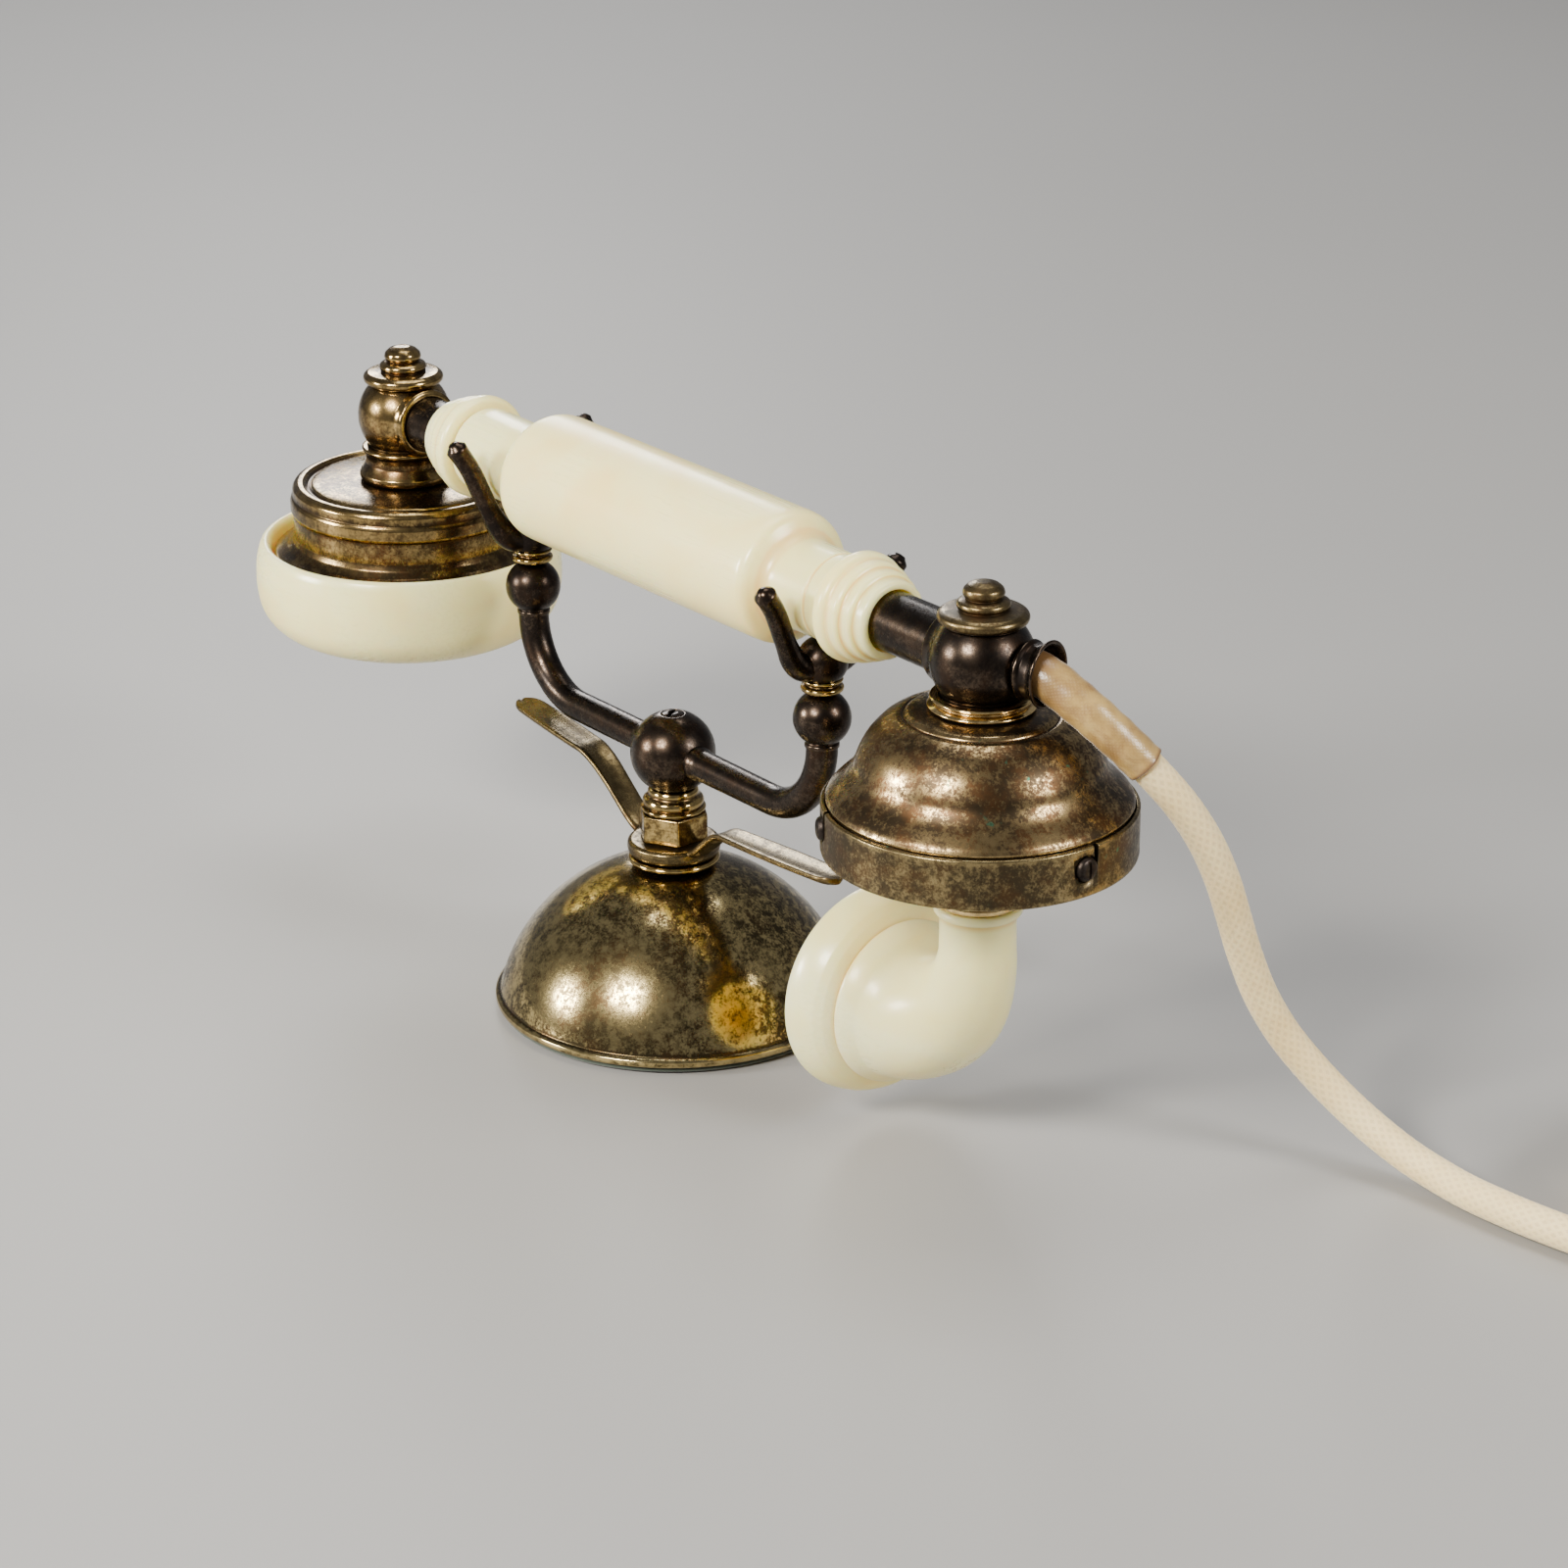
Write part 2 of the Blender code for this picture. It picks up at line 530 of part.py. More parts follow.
def make_transmitter():
    place = (HEAD_X, 0, 0)
    outside = [(3.9, 97.6), (11.0, 97.6), (14.4, 97.0), (15.0, 96.3), (15.8, 96.2), (19.6, 94.2),
               (22.3, 91.2), (23.9, 88.2), (24.8, 85.8), (26.2, 83.7), (28.2, 81.7), (29.7, 80.2),
               (30.2, 79.0), (30.0, 78.4), (30.0, 70.6)]
    inside = [(29.0, 70.6), (29.0, 79.3), (27.3, 81.1), (25.3, 83.1), (23.9, 85.4), (23.0, 87.9),
              (21.4, 90.7), (19.0, 93.1), (15.2, 95.2), (3.9, 96.3)]
    bell = turned("transmitter_bell", outside + inside, AGED_BRASS, LARGE, place, parent=handset_lift)
    band = turned("transmitter_band", [(BAND_R, BAND_TOP), (BAND_R, BAND_BOTTOM),
                                       (BAND_R - 0.8, BAND_BOTTOM), (BAND_R - 0.8, BAND_TOP)],
                  AGED_BRASS, 36, place, parent=handset_lift)
    for i in range(3):
        angle = 120 * i
        spoke = [Vector(around(angle, r, KEYHOLE_Z, HEAD_X)) for r in (27.5, 28.4, 34.0)]
        cut(band, cutter(f"keyhole_{i}", KEYHOLE_R, spoke[1] + (spoke[2] - spoke[1]) * 0.2, spoke[2]))
        cut(bell, cutter(f"band_screw_hole_{i}", 1.5, spoke[0], spoke[2], 10))
        slot = block(f"keyhole_slot_{i}", (29.8, -0.6, KEYHOLE_Z + 1), (33, 0.6, BAND_TOP + 2), BRASS,
                     home=tools)
        slot.matrix_world = (
            Matrix.Translation((HEAD_X * MM, 0, 0))
            @ Matrix.Rotation(math.radians(angle + 4.5), 4, "Z")
            @ slot.matrix_world.copy()
        )
        cut(band, hidden(slot))
        screw = [(0, 32.5), (1.6, 32.4), (2.3, 32.0), (2.5, 31.5), (2.5, 30.4), (1.2, 30.4),
                 (1.2, 28.0), (0, 28.0)]
        face = Matrix.Rotation(math.radians(angle), 4, "Z") @ ALONG_X
        turned(f"band_screw_{i + 1}", screw, BRONZE, 12, (HEAD_X, 0, KEYHOLE_Z), face, handset_lift)
    capsule = [(0, 81.0), (14, 81.0), (17, 79.6), (24, 79.2), (25.0, 78.2), (25.0, 73.0),
               (24.0, 72.2), (0, 72.2)]
    turned("carbon_capsule", capsule, STEEL, LARGE, place, parent=handset_lift)
    plate = [(28.4, 71.9), (28.7, 71.6), (28.7, 69.9), (16.0, 68.3), (11.0, 66.4), (9.4, 63.6),
             (9.0, 60.7), (6.6, 60.7), (6.6, 66.2), (13.0, 70.0), (24.0, 71.9)]
    turned("transmitter_plate", plate, AGED_BRASS, LARGE, place, parent=handset_lift)


def make_receiver():
    place = (-HEAD_X, 0, 0)
    cup = [(3.9, 92.4), (21.4, 92.2), (22.2, 91.5), (23.0, 92.3), (24.7, 92.3), (25.8, 91.0),
           (25.8, 88.9), (26.3, 88.4), (26.3, 85.7), (25.8, 85.1), (25.8, 79.6), (28.0, 77.2),
           (30.2, 76.5), (30.4, 75.2), (29.5, 74.4), (29.5, 68.2), (28.3, 68.2), (28.3, 75.2),
           (24.7, 79.2), (24.7, 90.9), (3.9, 91.1)]
    turned("receiver_cup", cup, AGED_BRASS, LARGE, place, parent=handset_lift)
    cap = [(0, 62.0), (12.0, 62.0), (22.0, 61.2), (28.0, 64.0), (28.0, 67.4), (29.9, 67.7),
           (29.9, 73.6), (30.9, 74.0), (31.3, 78.1), (32.3, 78.7), (33.4, 78.3), (34.6, 74.0),
           (34.6, 68.5), (33.6, 63.6), (30.4, 59.6), (25.6, 57.4), (21.5, 57.0), (9.0, 59.3),
           (0, 59.8)]
    cap = turned("ear_cap", cap, IVORY, LARGE, place, parent=handset_lift)
    cut(cap, cutter("ear_hole_centre", 1.5, (-HEAD_X, 0, 50), (-HEAD_X, 0, 70), 8))
    for i in range(6):
        x, y, _ = around(60 * i, 7.0, 0, -HEAD_X)
        cut(cap, cutter(f"ear_hole_{i}", 1.5, (x, y, 50), (x, y, 70), 8))
    turned("receiver_diaphragm", [(0, 66.3), (27.4, 66.3), (27.4, 65.9), (0, 65.9)], STEEL, LARGE,
           place, parent=handset_lift)
    block("receiver_magnet", (-HEAD_X - 17, -6, 82.5), (-HEAD_X + 17, 6, 88.5), STEEL, handset_lift)
    spool = [(0, 82.2), (8.0, 82.2), (8.0, 70.0), (3.0, 70.0), (3.0, 66.9), (0, 66.9)]
    turned("receiver_coil", spool, FIBRE, MEDIUM, place, parent=handset_lift)


# --------------------------------------------------------------------------- mouthpiece


def horn_stations():
    """Centre, turn in radians and radius of each ring of the elbow, from its lip to the seam."""
    bend_x = HEAD_X - HORN_BEND_R
    bend_z = HORN_Z + HORN_BEND_R
    rings = [((HEAD_X, 56.7), 0, 8.3), ((HEAD_X, 56.3), 0, 8.8), ((HEAD_X, 55.2), 0, 8.8),
             ((HEAD_X, 54.6), 0, 7.9), ((HEAD_X, 50.5), 0, 7.6), ((HEAD_X, bend_z), 0, 7.7)]
    for share, radius in ((0.2, 8.4), (0.4, 9.7), (0.6, 11.3), (0.8, 13.0), (0.95, 14.6)):
        a = share * math.pi / 2
        rings.append(((bend_x + HORN_BEND_R * math.cos(a), bend_z - HORN_BEND_R * math.sin(a)),
                      a, radius))
    for x, radius in ((79.2, 16.0), (77.6, 17.4), (SEAM_X + GAP, 17.4)):
        rings.append(((x, HORN_Z), math.pi / 2, radius))
    return rings


def make_mouthpiece():
    ferrule = [(8.2, 60.4), (8.65, 59.9), (8.65, 57.5), (8.2, 57.0), (6.6, 57.0), (6.6, 60.4)]
    turned("mouthpiece_ferrule", ferrule, BRASS, MEDIUM, (HEAD_X, 0, 0), parent=mouthpiece_turn)
    sides = MEDIUM
    mesh = bpy.data.meshes.new("mouthpiece_elbow")
    made = bmesh.new()
    rows = []
    for (x, z), a, radius in horn_stations():
        row = []
        for i in range(sides):
            q = 2 * math.pi * i / sides
            out, across = radius * math.cos(q), radius * math.sin(q)
            row.append(made.verts.new(
                Vector((x + out * math.cos(a), across, z - out * math.sin(a))) * MM))
        rows.append(row)
    for upper, lower in zip(rows, rows[1:]):
        for i in range(sides):
            k = (i + 1) % sides
            made.faces.new((upper[i], lower[i], lower[k], upper[k]))
    made.to_mesh(mesh)
    made.free()
    elbow = bpy.data.objects.new("mouthpiece_elbow", mesh)
    model.objects.link(elbow)
    mesh.materials.append(IVORY)
    wall = elbow.modifiers.new("Wall", "SOLIDIFY")
    wall.thickness = HORN_WALL * MM
    wall.offset = -1.0
    adopt(elbow, mouthpiece_turn)
    flare = [(21.7, 9.8), (22.0, 9.2), (22.0, 7.0), (21.3, 4.4), (19.8, 2.0), (17.9, 0.5), (17.2, 0.0),
             (15.6, 0.0), (16.6, 1.6), (18.4, 4.0), (19.7, 6.8), (20.3, 9.2), (20.8, 9.8)]
    turned("mouthpiece_flare", flare, IVORY, LARGE, (SEAM_X, 0, HORN_Z), ALONG_MINUS_X,
           mouthpiece_turn)


# --------------------------------------------------------------------------- cord

# The sleeve starts inside the socket, leaves it nearly level and droops.
SLEEVE_ROUTE = [(110.8, 3.2, 107.5), (113.2, 3.9, 107.0), (116.3, 5.3, 105.3), (119.7, 6.9, 103.0),
                (122.7, 8.7, 100.5), (125.2, 10.6, 97.8), (127.5, 12.7, 95.0), (129.9, 15.4, 91.4)]
# Down from the sleeve, out along the table and up to the coil.
CORD_ROUTE = [
    (130.1, 15.7, 91.0), (133.4, 21.2, 83.4), (135.1, 26.6, 74.8), (135.3, 31.6, 65.2),
    (134.8, 35.6, 56.0), (134.3, 39.3, 47.3), (134.8, 43.7, 37.3), (136.9, 48.2, 28.5),
    (140.6, 52.6, 21.1), (145.8, 56.3, 14.9), (152.1, 59.3, 9.9), (159.6, 61.5, 6.2),
    (167.5, 62.7, 4.3), (176.0, 63.1, 3.6), (186.5, 63.8, 3.5), (196.0, 65.0, 3.5),
    (204.6, 66.6, 3.5),
]
# The last turn's end leaves the coil's top and runs to the plug, which lies on the coil.
PLUG_Z = 22.4
PLUG_ANGLE = 60.0
PLUG_OFFSET = 32.0  # from the coil's middle to the plug's axis


def make_cord():
    tube("cord_sleeve", smooth(SLEEVE_ROUTE, 1), 4.3, SLEEVE, 2, handset_lift, end_scale=0.93)
    tube("handset_cord", smooth(CORD_ROUTE, 1), CORD_R, BRAID, 2, handset_lift)
    half_wide = COIL_TURNS_WIDE * CORD_R
    high = 2 * CORD_R * COIL_TURNS_HIGH
    inner, outer = COIL_MID_R - half_wide, COIL_MID_R + half_wide
    ring = [(inner + 2, high), (outer - 2, high), (outer, high - 2), (outer, 2), (outer - 2, 0),
            (inner + 2, 0), (inner, 2), (inner, high - 2)]
    turned("cord_coil", ring, BRAID, LARGE, (*COIL_CENTRE, 0))


def over_coil(angle, radius, z):
    """A point at a compass angle in degrees about the coil's middle."""
    a = math.radians(angle)
    return Vector((COIL_CENTRE[0] + radius * math.cos(a), COIL_CENTRE[1] + radius * math.sin(a), z))


def make_plug():
    """The plug lies flat on top of the coil, square to the direction PLUG_ANGLE."""
    a = math.radians(PLUG_ANGLE)
    middle = over_coil(PLUG_ANGLE, PLUG_OFFSET, PLUG_Z)
    face = Matrix.Rotation(a + math.pi / 2, 4, "Z") @ ALONG_X
    body = [(0, 11.0), (6.8, 11.0), (7.6, 10.2), (7.6, 8.6), (8.0, 8.2), (8.0, 3.0), (7.4, 0.0),
            (6.6, -6.0), (6.3, -12.0), (5.6, -17.0), (5.2, -20.0), (0, -20.0)]
    turned("cord_plug", body, IVORY, MEDIUM, middle, face)
    jack = [(0, 30.0), (1.4, 29.4), (2.9, 27.0), (2.2, 25.4), (3.0, 24.2), (3.17, 23.8), (3.17, 11.3),
            (0, 11.3)]
    turned("plug_contact", jack, BRASS, SMALL, middle, face)
    along = Vector((-math.sin(a), math.cos(a), 0))
    end = middle - along * (20.0 + GAP)
    reach = [over_coil(8, 43.3, 20.6), over_coil(17, 41.8, 21.6), end - along * 3.5, end]
    tube("cord_tail", smooth(reach, 2), CORD_R, BRAID, 2)


make_foot()
make_stem()
make_wings()
make_cradle()
make_grip()
make_heads()
make_transmitter()
make_receiver()
make_mouthpiece()
make_cord()
make_plug()
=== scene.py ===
"""The looks of a cradle telephone: aged brass dome foot and bells, blackened cradle, ivory-coloured
grip, ear cap and horn, and a braided cord. Every visible piece is a fine mesh around its CAD node.

Lengths in the outlines are millimetres, and MM turns them into metres. Outlines are (radius,
height) and run down the outside of a piece, then up its bore if it has one.
"""

import json
import math

import bmesh
import bpy
from mathutils import Matrix, Vector


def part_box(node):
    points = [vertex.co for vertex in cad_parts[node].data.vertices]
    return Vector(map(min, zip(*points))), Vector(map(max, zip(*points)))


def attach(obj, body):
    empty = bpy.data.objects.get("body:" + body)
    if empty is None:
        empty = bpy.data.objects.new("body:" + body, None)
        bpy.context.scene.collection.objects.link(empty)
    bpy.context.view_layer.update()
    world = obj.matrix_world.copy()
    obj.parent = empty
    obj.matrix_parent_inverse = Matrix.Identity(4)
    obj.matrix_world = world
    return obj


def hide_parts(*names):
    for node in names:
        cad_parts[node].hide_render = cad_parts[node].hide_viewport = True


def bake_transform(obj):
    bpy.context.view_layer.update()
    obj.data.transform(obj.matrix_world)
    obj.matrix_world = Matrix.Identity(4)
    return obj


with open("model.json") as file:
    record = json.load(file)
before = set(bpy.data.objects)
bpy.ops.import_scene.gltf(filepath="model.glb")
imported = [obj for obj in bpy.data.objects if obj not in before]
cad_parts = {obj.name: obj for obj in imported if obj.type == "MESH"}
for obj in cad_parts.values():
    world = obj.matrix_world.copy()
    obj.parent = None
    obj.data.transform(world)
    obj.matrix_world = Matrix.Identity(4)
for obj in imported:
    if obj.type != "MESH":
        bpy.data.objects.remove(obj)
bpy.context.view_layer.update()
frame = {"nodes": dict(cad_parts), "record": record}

MM = 0.001
SLOT_OF = {part["node"]: part["material_slot"] for part in frame["record"]["subparts"]}
BODY_OF = {
    node: body
    for body, nodes in frame["record"]["behaviour"]["bodies"].items()
    for node in nodes
}


def middle(node):
    """The middle of a CAD node's box, in millimetres."""
    low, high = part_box(node)
    return (low + high) / 2 / MM


AXIS_Z = middle("core_tube").z
SENDER_X = middle("transmitter_finial").x
RECEIVER_X = middle("receiver_finial").x
FORK_X = middle("fork_collar_right").x
KEYHOLE_Z = middle("band_screw_1").z
HORN_Z = middle("mouthpiece_flare").z
HUB_Z = 57.24
HUB_R = 9.1
LOWER_BALL_Z = 80.5
FORK_BALL_Z = 92.7
STEM_HOLE_R = 4.9
SEAM_X = 76.0  # where the elbow meets the flare
SOCKET_ANGLE = math.radians(16.7)

ALONG_X = Matrix.Rotation(math.radians(90), 4, "Y")
ALONG_MINUS_X = Matrix.Rotation(math.radians(-90), 4, "Y")


# ---------- camera


def add_camera():
    data = bpy.data.cameras.new("camera")
    data.lens = 101.6
    data.sensor_width = 36.0
    camera = bpy.data.objects.new("camera", data)
    bpy.context.scene.collection.objects.link(camera)
    camera.location = (0.70212, -0.51924, 0.40335)
    camera.rotation_euler = (math.radians(67.95), 0, math.radians(51.97))
    bpy.context.scene.camera = camera


# ---------- material helpers


class Finish:
    """A material whose node tree is written in short steps. Values that are the same all over a
    surface are set on the shader's own sockets."""

    def __init__(self, name, seed=0.0, **uniform):
        self.material = bpy.data.materials.new(name)
        self.material.use_nodes = True
        self.tree = self.material.node_tree
        self.shader = self.tree.nodes["Principled BSDF"]
        for socket, value in uniform.items():
            self.shader.inputs[socket.replace("_", " ")].default_value = value
        place = self.node("ShaderNodeTexCoord").outputs["Object"]
        shift = self.node("ShaderNodeVectorMath")
        self.put(shift.inputs[0], place)
        self.put(shift.inputs[1], (seed, seed * 0.7, -seed * 0.4))
        self.place = shift.outputs[0]

    def node(self, kind, **values):
        """A new node, with numbers or the outputs of other nodes on its named inputs."""
        made = self.tree.nodes.new(kind)
        for socket, value in values.items():
            self.put(made.inputs[socket.replace("_", " ")], value)
        return made

    def put(self, socket, value):
        if isinstance(value, bpy.types.NodeSocket):
            self.tree.links.new(value, socket)
        else:
            socket.default_value = value

    def shade(self, socket, value):
        self.put(self.shader.inputs[socket], value)

    def noise(self, size_mm, detail=4.0, roughness=0.55, warp=0.0, stretch=(1, 1, 1)):
        """Noise from 0 to 1 whose blotches are about size_mm across."""
        scale = self.node("ShaderNodeVectorMath")
        scale.operation = "MULTIPLY"
        self.put(scale.inputs[0], self.place)
        self.put(scale.inputs[1], tuple(1000 / size_mm / s for s in stretch))
        made = self.node("ShaderNodeTexNoise", Vector=scale.outputs[0], Scale=1.0, Detail=detail,
                         Roughness=roughness, Distortion=warp)
        return made.outputs[0]

    def math(self, operation, a, b=0.0):
        """A number from two others."""
        made = self.node("ShaderNodeMath")
        made.operation = operation
        self.put(made.inputs[0], a)
        self.put(made.inputs[1], b)
        return made.outputs[0]

    def plus(self, a, b):
        return self.math("ADD", a, b)

    def times(self, a, b):
        return self.math("MULTIPLY", a, b)

    def step(self, value, low, high):
        """A smooth step from 0 at low to 1 at high."""
        made = self.node("ShaderNodeMapRange", Value=value, From_Min=low, From_Max=high)
        made.interpolation_type = "SMOOTHSTEP"
        return made.outputs["Result"]

    def level(self, share, a, b):
        """A number from a to b."""
        made = self.node("ShaderNodeMapRange", Value=share, To_Min=a, To_Max=b)
        return made.outputs["Result"]

    def mix(self, share, a, b):
        """A colour from a to b."""
        made = self.node("ShaderNodeMix")
        made.data_type = "RGBA"
        self.put(made.inputs[0], share)
        for socket, colour in ((made.inputs[6], a), (made.inputs[7], b)):
            self.put(socket, colour if isinstance(colour, bpy.types.NodeSocket) else (*colour, 1.0))
        return made.outputs[2]

    def attribute(self, name):
        made = self.node("ShaderNodeAttribute")
        made.attribute_name = name
        return made.outputs["Fac"]

    def relief(self, height, depth_mm, strength=1.0):
        made = self.node("ShaderNodeBump", Strength=strength, Distance=depth_mm * MM, Height=height)
        self.shade("Normal", made.outputs["Normal"])


def tarnished(name, clean, dark, amount, seed, *, shine, dull, blotch, rust, green=0.0, fade=0.2):
    """Metal with a mottled patina: clean metal shows through where it is rubbed, on edges most.

    amount is how much the dark patina covers, in blotches of the given millimetres, and fade is
    how gradual its edge is. rust turns it browner and green adds small spots. shine and dull are
    the roughness of the clean and the dark metal. Dark pits and pale specks lie over both.
    """
    metal = Finish(name, seed, Metallic=1.0)
    broad = metal.noise(blotch, 6.0, 0.62, 0.5)
    small = metal.noise(2.2, 7.0, 0.72)
    speck = metal.noise(0.55, 3.0, 0.6)
    wear = metal.attribute("wear")
    cover = metal.plus(metal.times(broad, 0.42), metal.times(small, 0.40))
    cover = metal.plus(cover, metal.times(speck, 0.18))
    cover = metal.math("SUBTRACT", cover, metal.times(wear, 0.14))
    line = 0.70 - amount * 0.3
    cover = metal.step(cover, line - fade / 2, line + fade / 2)
    brown = tuple(d + rust * (b - d) for d, b in zip(dark, (0.13, 0.058, 0.022)))
    oxide = metal.mix(metal.step(metal.noise(7.0, 5.0, 0.65), 0.42, 0.68), dark, brown)
    deep = tuple(0.6 * c for c in clean)
    bright = metal.mix(metal.step(small, 0.38, 0.62), clean, deep)
    colour = metal.mix(cover, bright, oxide)
    pits = metal.step(metal.noise(0.9, 4.0, 0.7), 0.60, 0.70)
    colour = metal.mix(metal.times(pits, 0.55), colour, tuple(0.35 * d for d in dark))
    specks = metal.step(metal.noise(1.4, 2.0, 0.5), 0.66, 0.72)
    colour = metal.mix(metal.times(specks, 0.35), colour, clean)
    if green:
        spots = metal.step(metal.noise(3.0, 2.0, 0.5), 0.70, 0.77)
        colour = metal.mix(metal.times(spots, green), colour, (0.06, 0.20, 0.12))
    metal.shade("Base Color", colour)
    finish = metal.level(cover, shine, dull)
    finish = metal.plus(finish, metal.times(pits, 0.12))
    metal.shade("Roughness", metal.plus(finish, metal.level(speck, -0.04, 0.06)))
    metal.relief(metal.plus(metal.times(small, 0.5), speck), 0.03, 0.3)
    return metal.material


def ivory(name, seed, base=(1.0, 0.79, 0.36), amber=(0.84, 0.42, 0.06)):
    """Old ivory-coloured plastic: it lets light in, yellows in grooves and has fine scratches."""
    body = Finish(name, seed, Subsurface_Weight=0.7, Subsurface_Radius=(1.0, 0.7, 0.32),
                  Subsurface_Scale=0.008, Coat_Weight=0.2, Coat_Roughness=0.15, IOR=1.5)
    cloud = body.step(body.noise(26.0, 3.0, 0.5, 0.6), 0.35, 0.72)
    stain = body.step(body.noise(9.0, 6.0, 0.7, 0.3), 0.56, 0.80)
    grain = body.noise(3.2, 4.0, 0.6, 0.2, (7, 1, 1))
    groove = body.step(body.times(body.attribute("wear"), -1.0), 0.03, 0.9)
    pale = tuple(min(1.0, c * f) for c, f in zip(base, (1.04, 1.07, 1.16)))
    warm = tuple(c * f for c, f in zip(base, (0.98, 0.94, 0.82)))
    colour = body.mix(cloud, pale, warm)
    colour = body.mix(body.times(stain, 0.16), colour, amber)
    colour = body.mix(body.times(body.step(grain, 0.5, 0.8), 0.07), colour, amber)
    colour = body.mix(body.times(groove, 0.6), colour, amber)
    body.shade("Base Color", colour)
    scratch = body.noise(0.9, 2.0, 0.5, 0.0, (22, 1, 1))
    body.shade("Roughness", body.plus(body.level(cloud, 0.27, 0.37),
                                      body.level(scratch, -0.05, 0.06)))
    height = body.plus(body.times(scratch, 0.35), body.noise(5.0, 3.0))
    body.relief(height, 0.05, 0.15)
    return body.material


def plain_metal(name, colour, roughness, grain, seed):
    """Machined metal for the pieces inside, with turning marks."""
    metal = Finish(name, seed, Metallic=1.0)
    mark = metal.noise(grain, 3.0, 0.5, 0.0, (1, 1, 14))
    metal.shade("Base Color", metal.mix(mark, colour, tuple(0.6 * c for c in colour)))
    metal.shade("Roughness", metal.level(mark, roughness - 0.08, roughness + 0.12))
    metal.relief(mark, 0.04, 0.3)
    return metal.material


def fibrous(name, colour, roughness, strand, seed):
    """Felt or pressed fibre: matt, with short strands."""
    cloth = Finish(name, seed, Sheen_Weight=0.4, Sheen_Roughness=0.6)
    fuzz = cloth.noise(strand, 6.0, 0.75)
    tint = cloth.noise(strand * 12, 3.0, 0.5)
    light = tuple(min(1.0, 1.7 * c) for c in colour)
    cloth.shade("Base Color", cloth.mix(cloth.times(fuzz, tint), colour, light))
    cloth.shade("Roughness", cloth.level(fuzz, roughness - 0.1, 1.0))
    cloth.relief(fuzz, strand * 0.5, 0.8)
    return cloth.material


def uv_waves(finish, across, along, twist):
    """Strands that wind round a tube: waves of the wrap map, turned by twist strands a turn."""
    split = finish.node("ShaderNodeSeparateXYZ")
    wrap = finish.node("ShaderNodeUVMap")
    wrap.uv_map = "wrap"
    finish.put(split.inputs[0], wrap.outputs[0])
    turn = finish.times(split.outputs["Y"], 2 * math.pi * across * twist)
    run = finish.times(split.outputs["X"], 2 * math.pi * 1000 / along)
    wave = finish.math("SINE", finish.plus(turn, run))
    return finish.times(finish.plus(wave, 1.0), 0.5)


BRAID_STRANDS = 12
BRAID_PITCH = 2.6  # millimetres along the cord from one strand to the next


def braided(name):
    """A cotton braid: two families of strands that cross, each of several threads, with painted
    shade in the gaps between strands.
    """
    cotton = Finish(name, 3.0, Sheen_Weight=0.3, Sheen_Roughness=0.4, Subsurface_Weight=0.3,
                    Subsurface_Radius=(1.0, 0.7, 0.4), Subsurface_Scale=0.002)
    left = uv_waves(cotton, BRAID_STRANDS, BRAID_PITCH, 1)
    right = uv_waves(cotton, BRAID_STRANDS, BRAID_PITCH, -1)
    threads = 3 * BRAID_STRANDS, BRAID_PITCH / 3
    thread = cotton.math("MAXIMUM", uv_waves(cotton, *threads, 1), uv_waves(cotton, *threads, -1))
    weave = cotton.math("MAXIMUM", left, right)
    soil = cotton.step(cotton.noise(20.0, 5.0, 0.62), 0.38, 0.75)
    rubbed = cotton.step(cotton.noise(4.0, 5.0, 0.7, 0.3), 0.55, 0.8)
    # Painted shade: the cord turns brown where the strands part, standing in for the shade that
    # falls between them.
    strand_gap_shade = cotton.step(weave, 0.8, 0.25)
    colour = cotton.mix(cotton.times(soil, 0.6), (0.86, 0.69, 0.37), (0.70, 0.50, 0.21))
    colour = cotton.mix(cotton.times(rubbed, 0.3), colour, (0.52, 0.36, 0.18))
    colour = cotton.mix(cotton.times(strand_gap_shade, 0.28), colour, (0.46, 0.33, 0.17))
    cotton.shade("Base Color", colour)
    cotton.shade("Roughness", cotton.level(thread, 0.85, 0.6))
    cotton.relief(cotton.plus(cotton.times(thread, 0.3), weave), 0.10, 0.6)
    return cotton.material


def woven_sleeve(name):
    """A close-woven sheath with a silky sheen, brown along its worn ends and in its creases."""
    silk = Finish(name, 5.0, Sheen_Weight=0.3, Sheen_Roughness=0.3, Coat_Weight=0.5,
                  Coat_Roughness=0.3)
    fine = silk.math("MAXIMUM", uv_waves(silk, 30, 0.9, 1), uv_waves(silk, 30, 0.9, -1))
    cloud = silk.step(silk.noise(6.0, 6.0, 0.68, 0.5), 0.36, 0.66)
    smear = silk.step(silk.noise(11.0, 4.0, 0.6), 0.45, 0.7)
    worn = silk.attribute("wear")
    gold = silk.mix(cloud, (0.42, 0.28, 0.09), (0.24, 0.135, 0.035))
    gold = silk.mix(silk.times(smear, 0.5), gold, (0.17, 0.085, 0.022))
    gold = silk.mix(silk.times(silk.step(fine, 0.8, 0.3), 0.25), gold, (0.38, 0.24, 0.09))
    silk.shade("Base Color", silk.mix(silk.step(worn, 0.1, 1.0), gold, (0.16, 0.08, 0.03)))
    silk.shade("Roughness", silk.level(cloud, 0.30, 0.5))
    silk.relief(fine, 0.06, 0.4)
    return silk.material


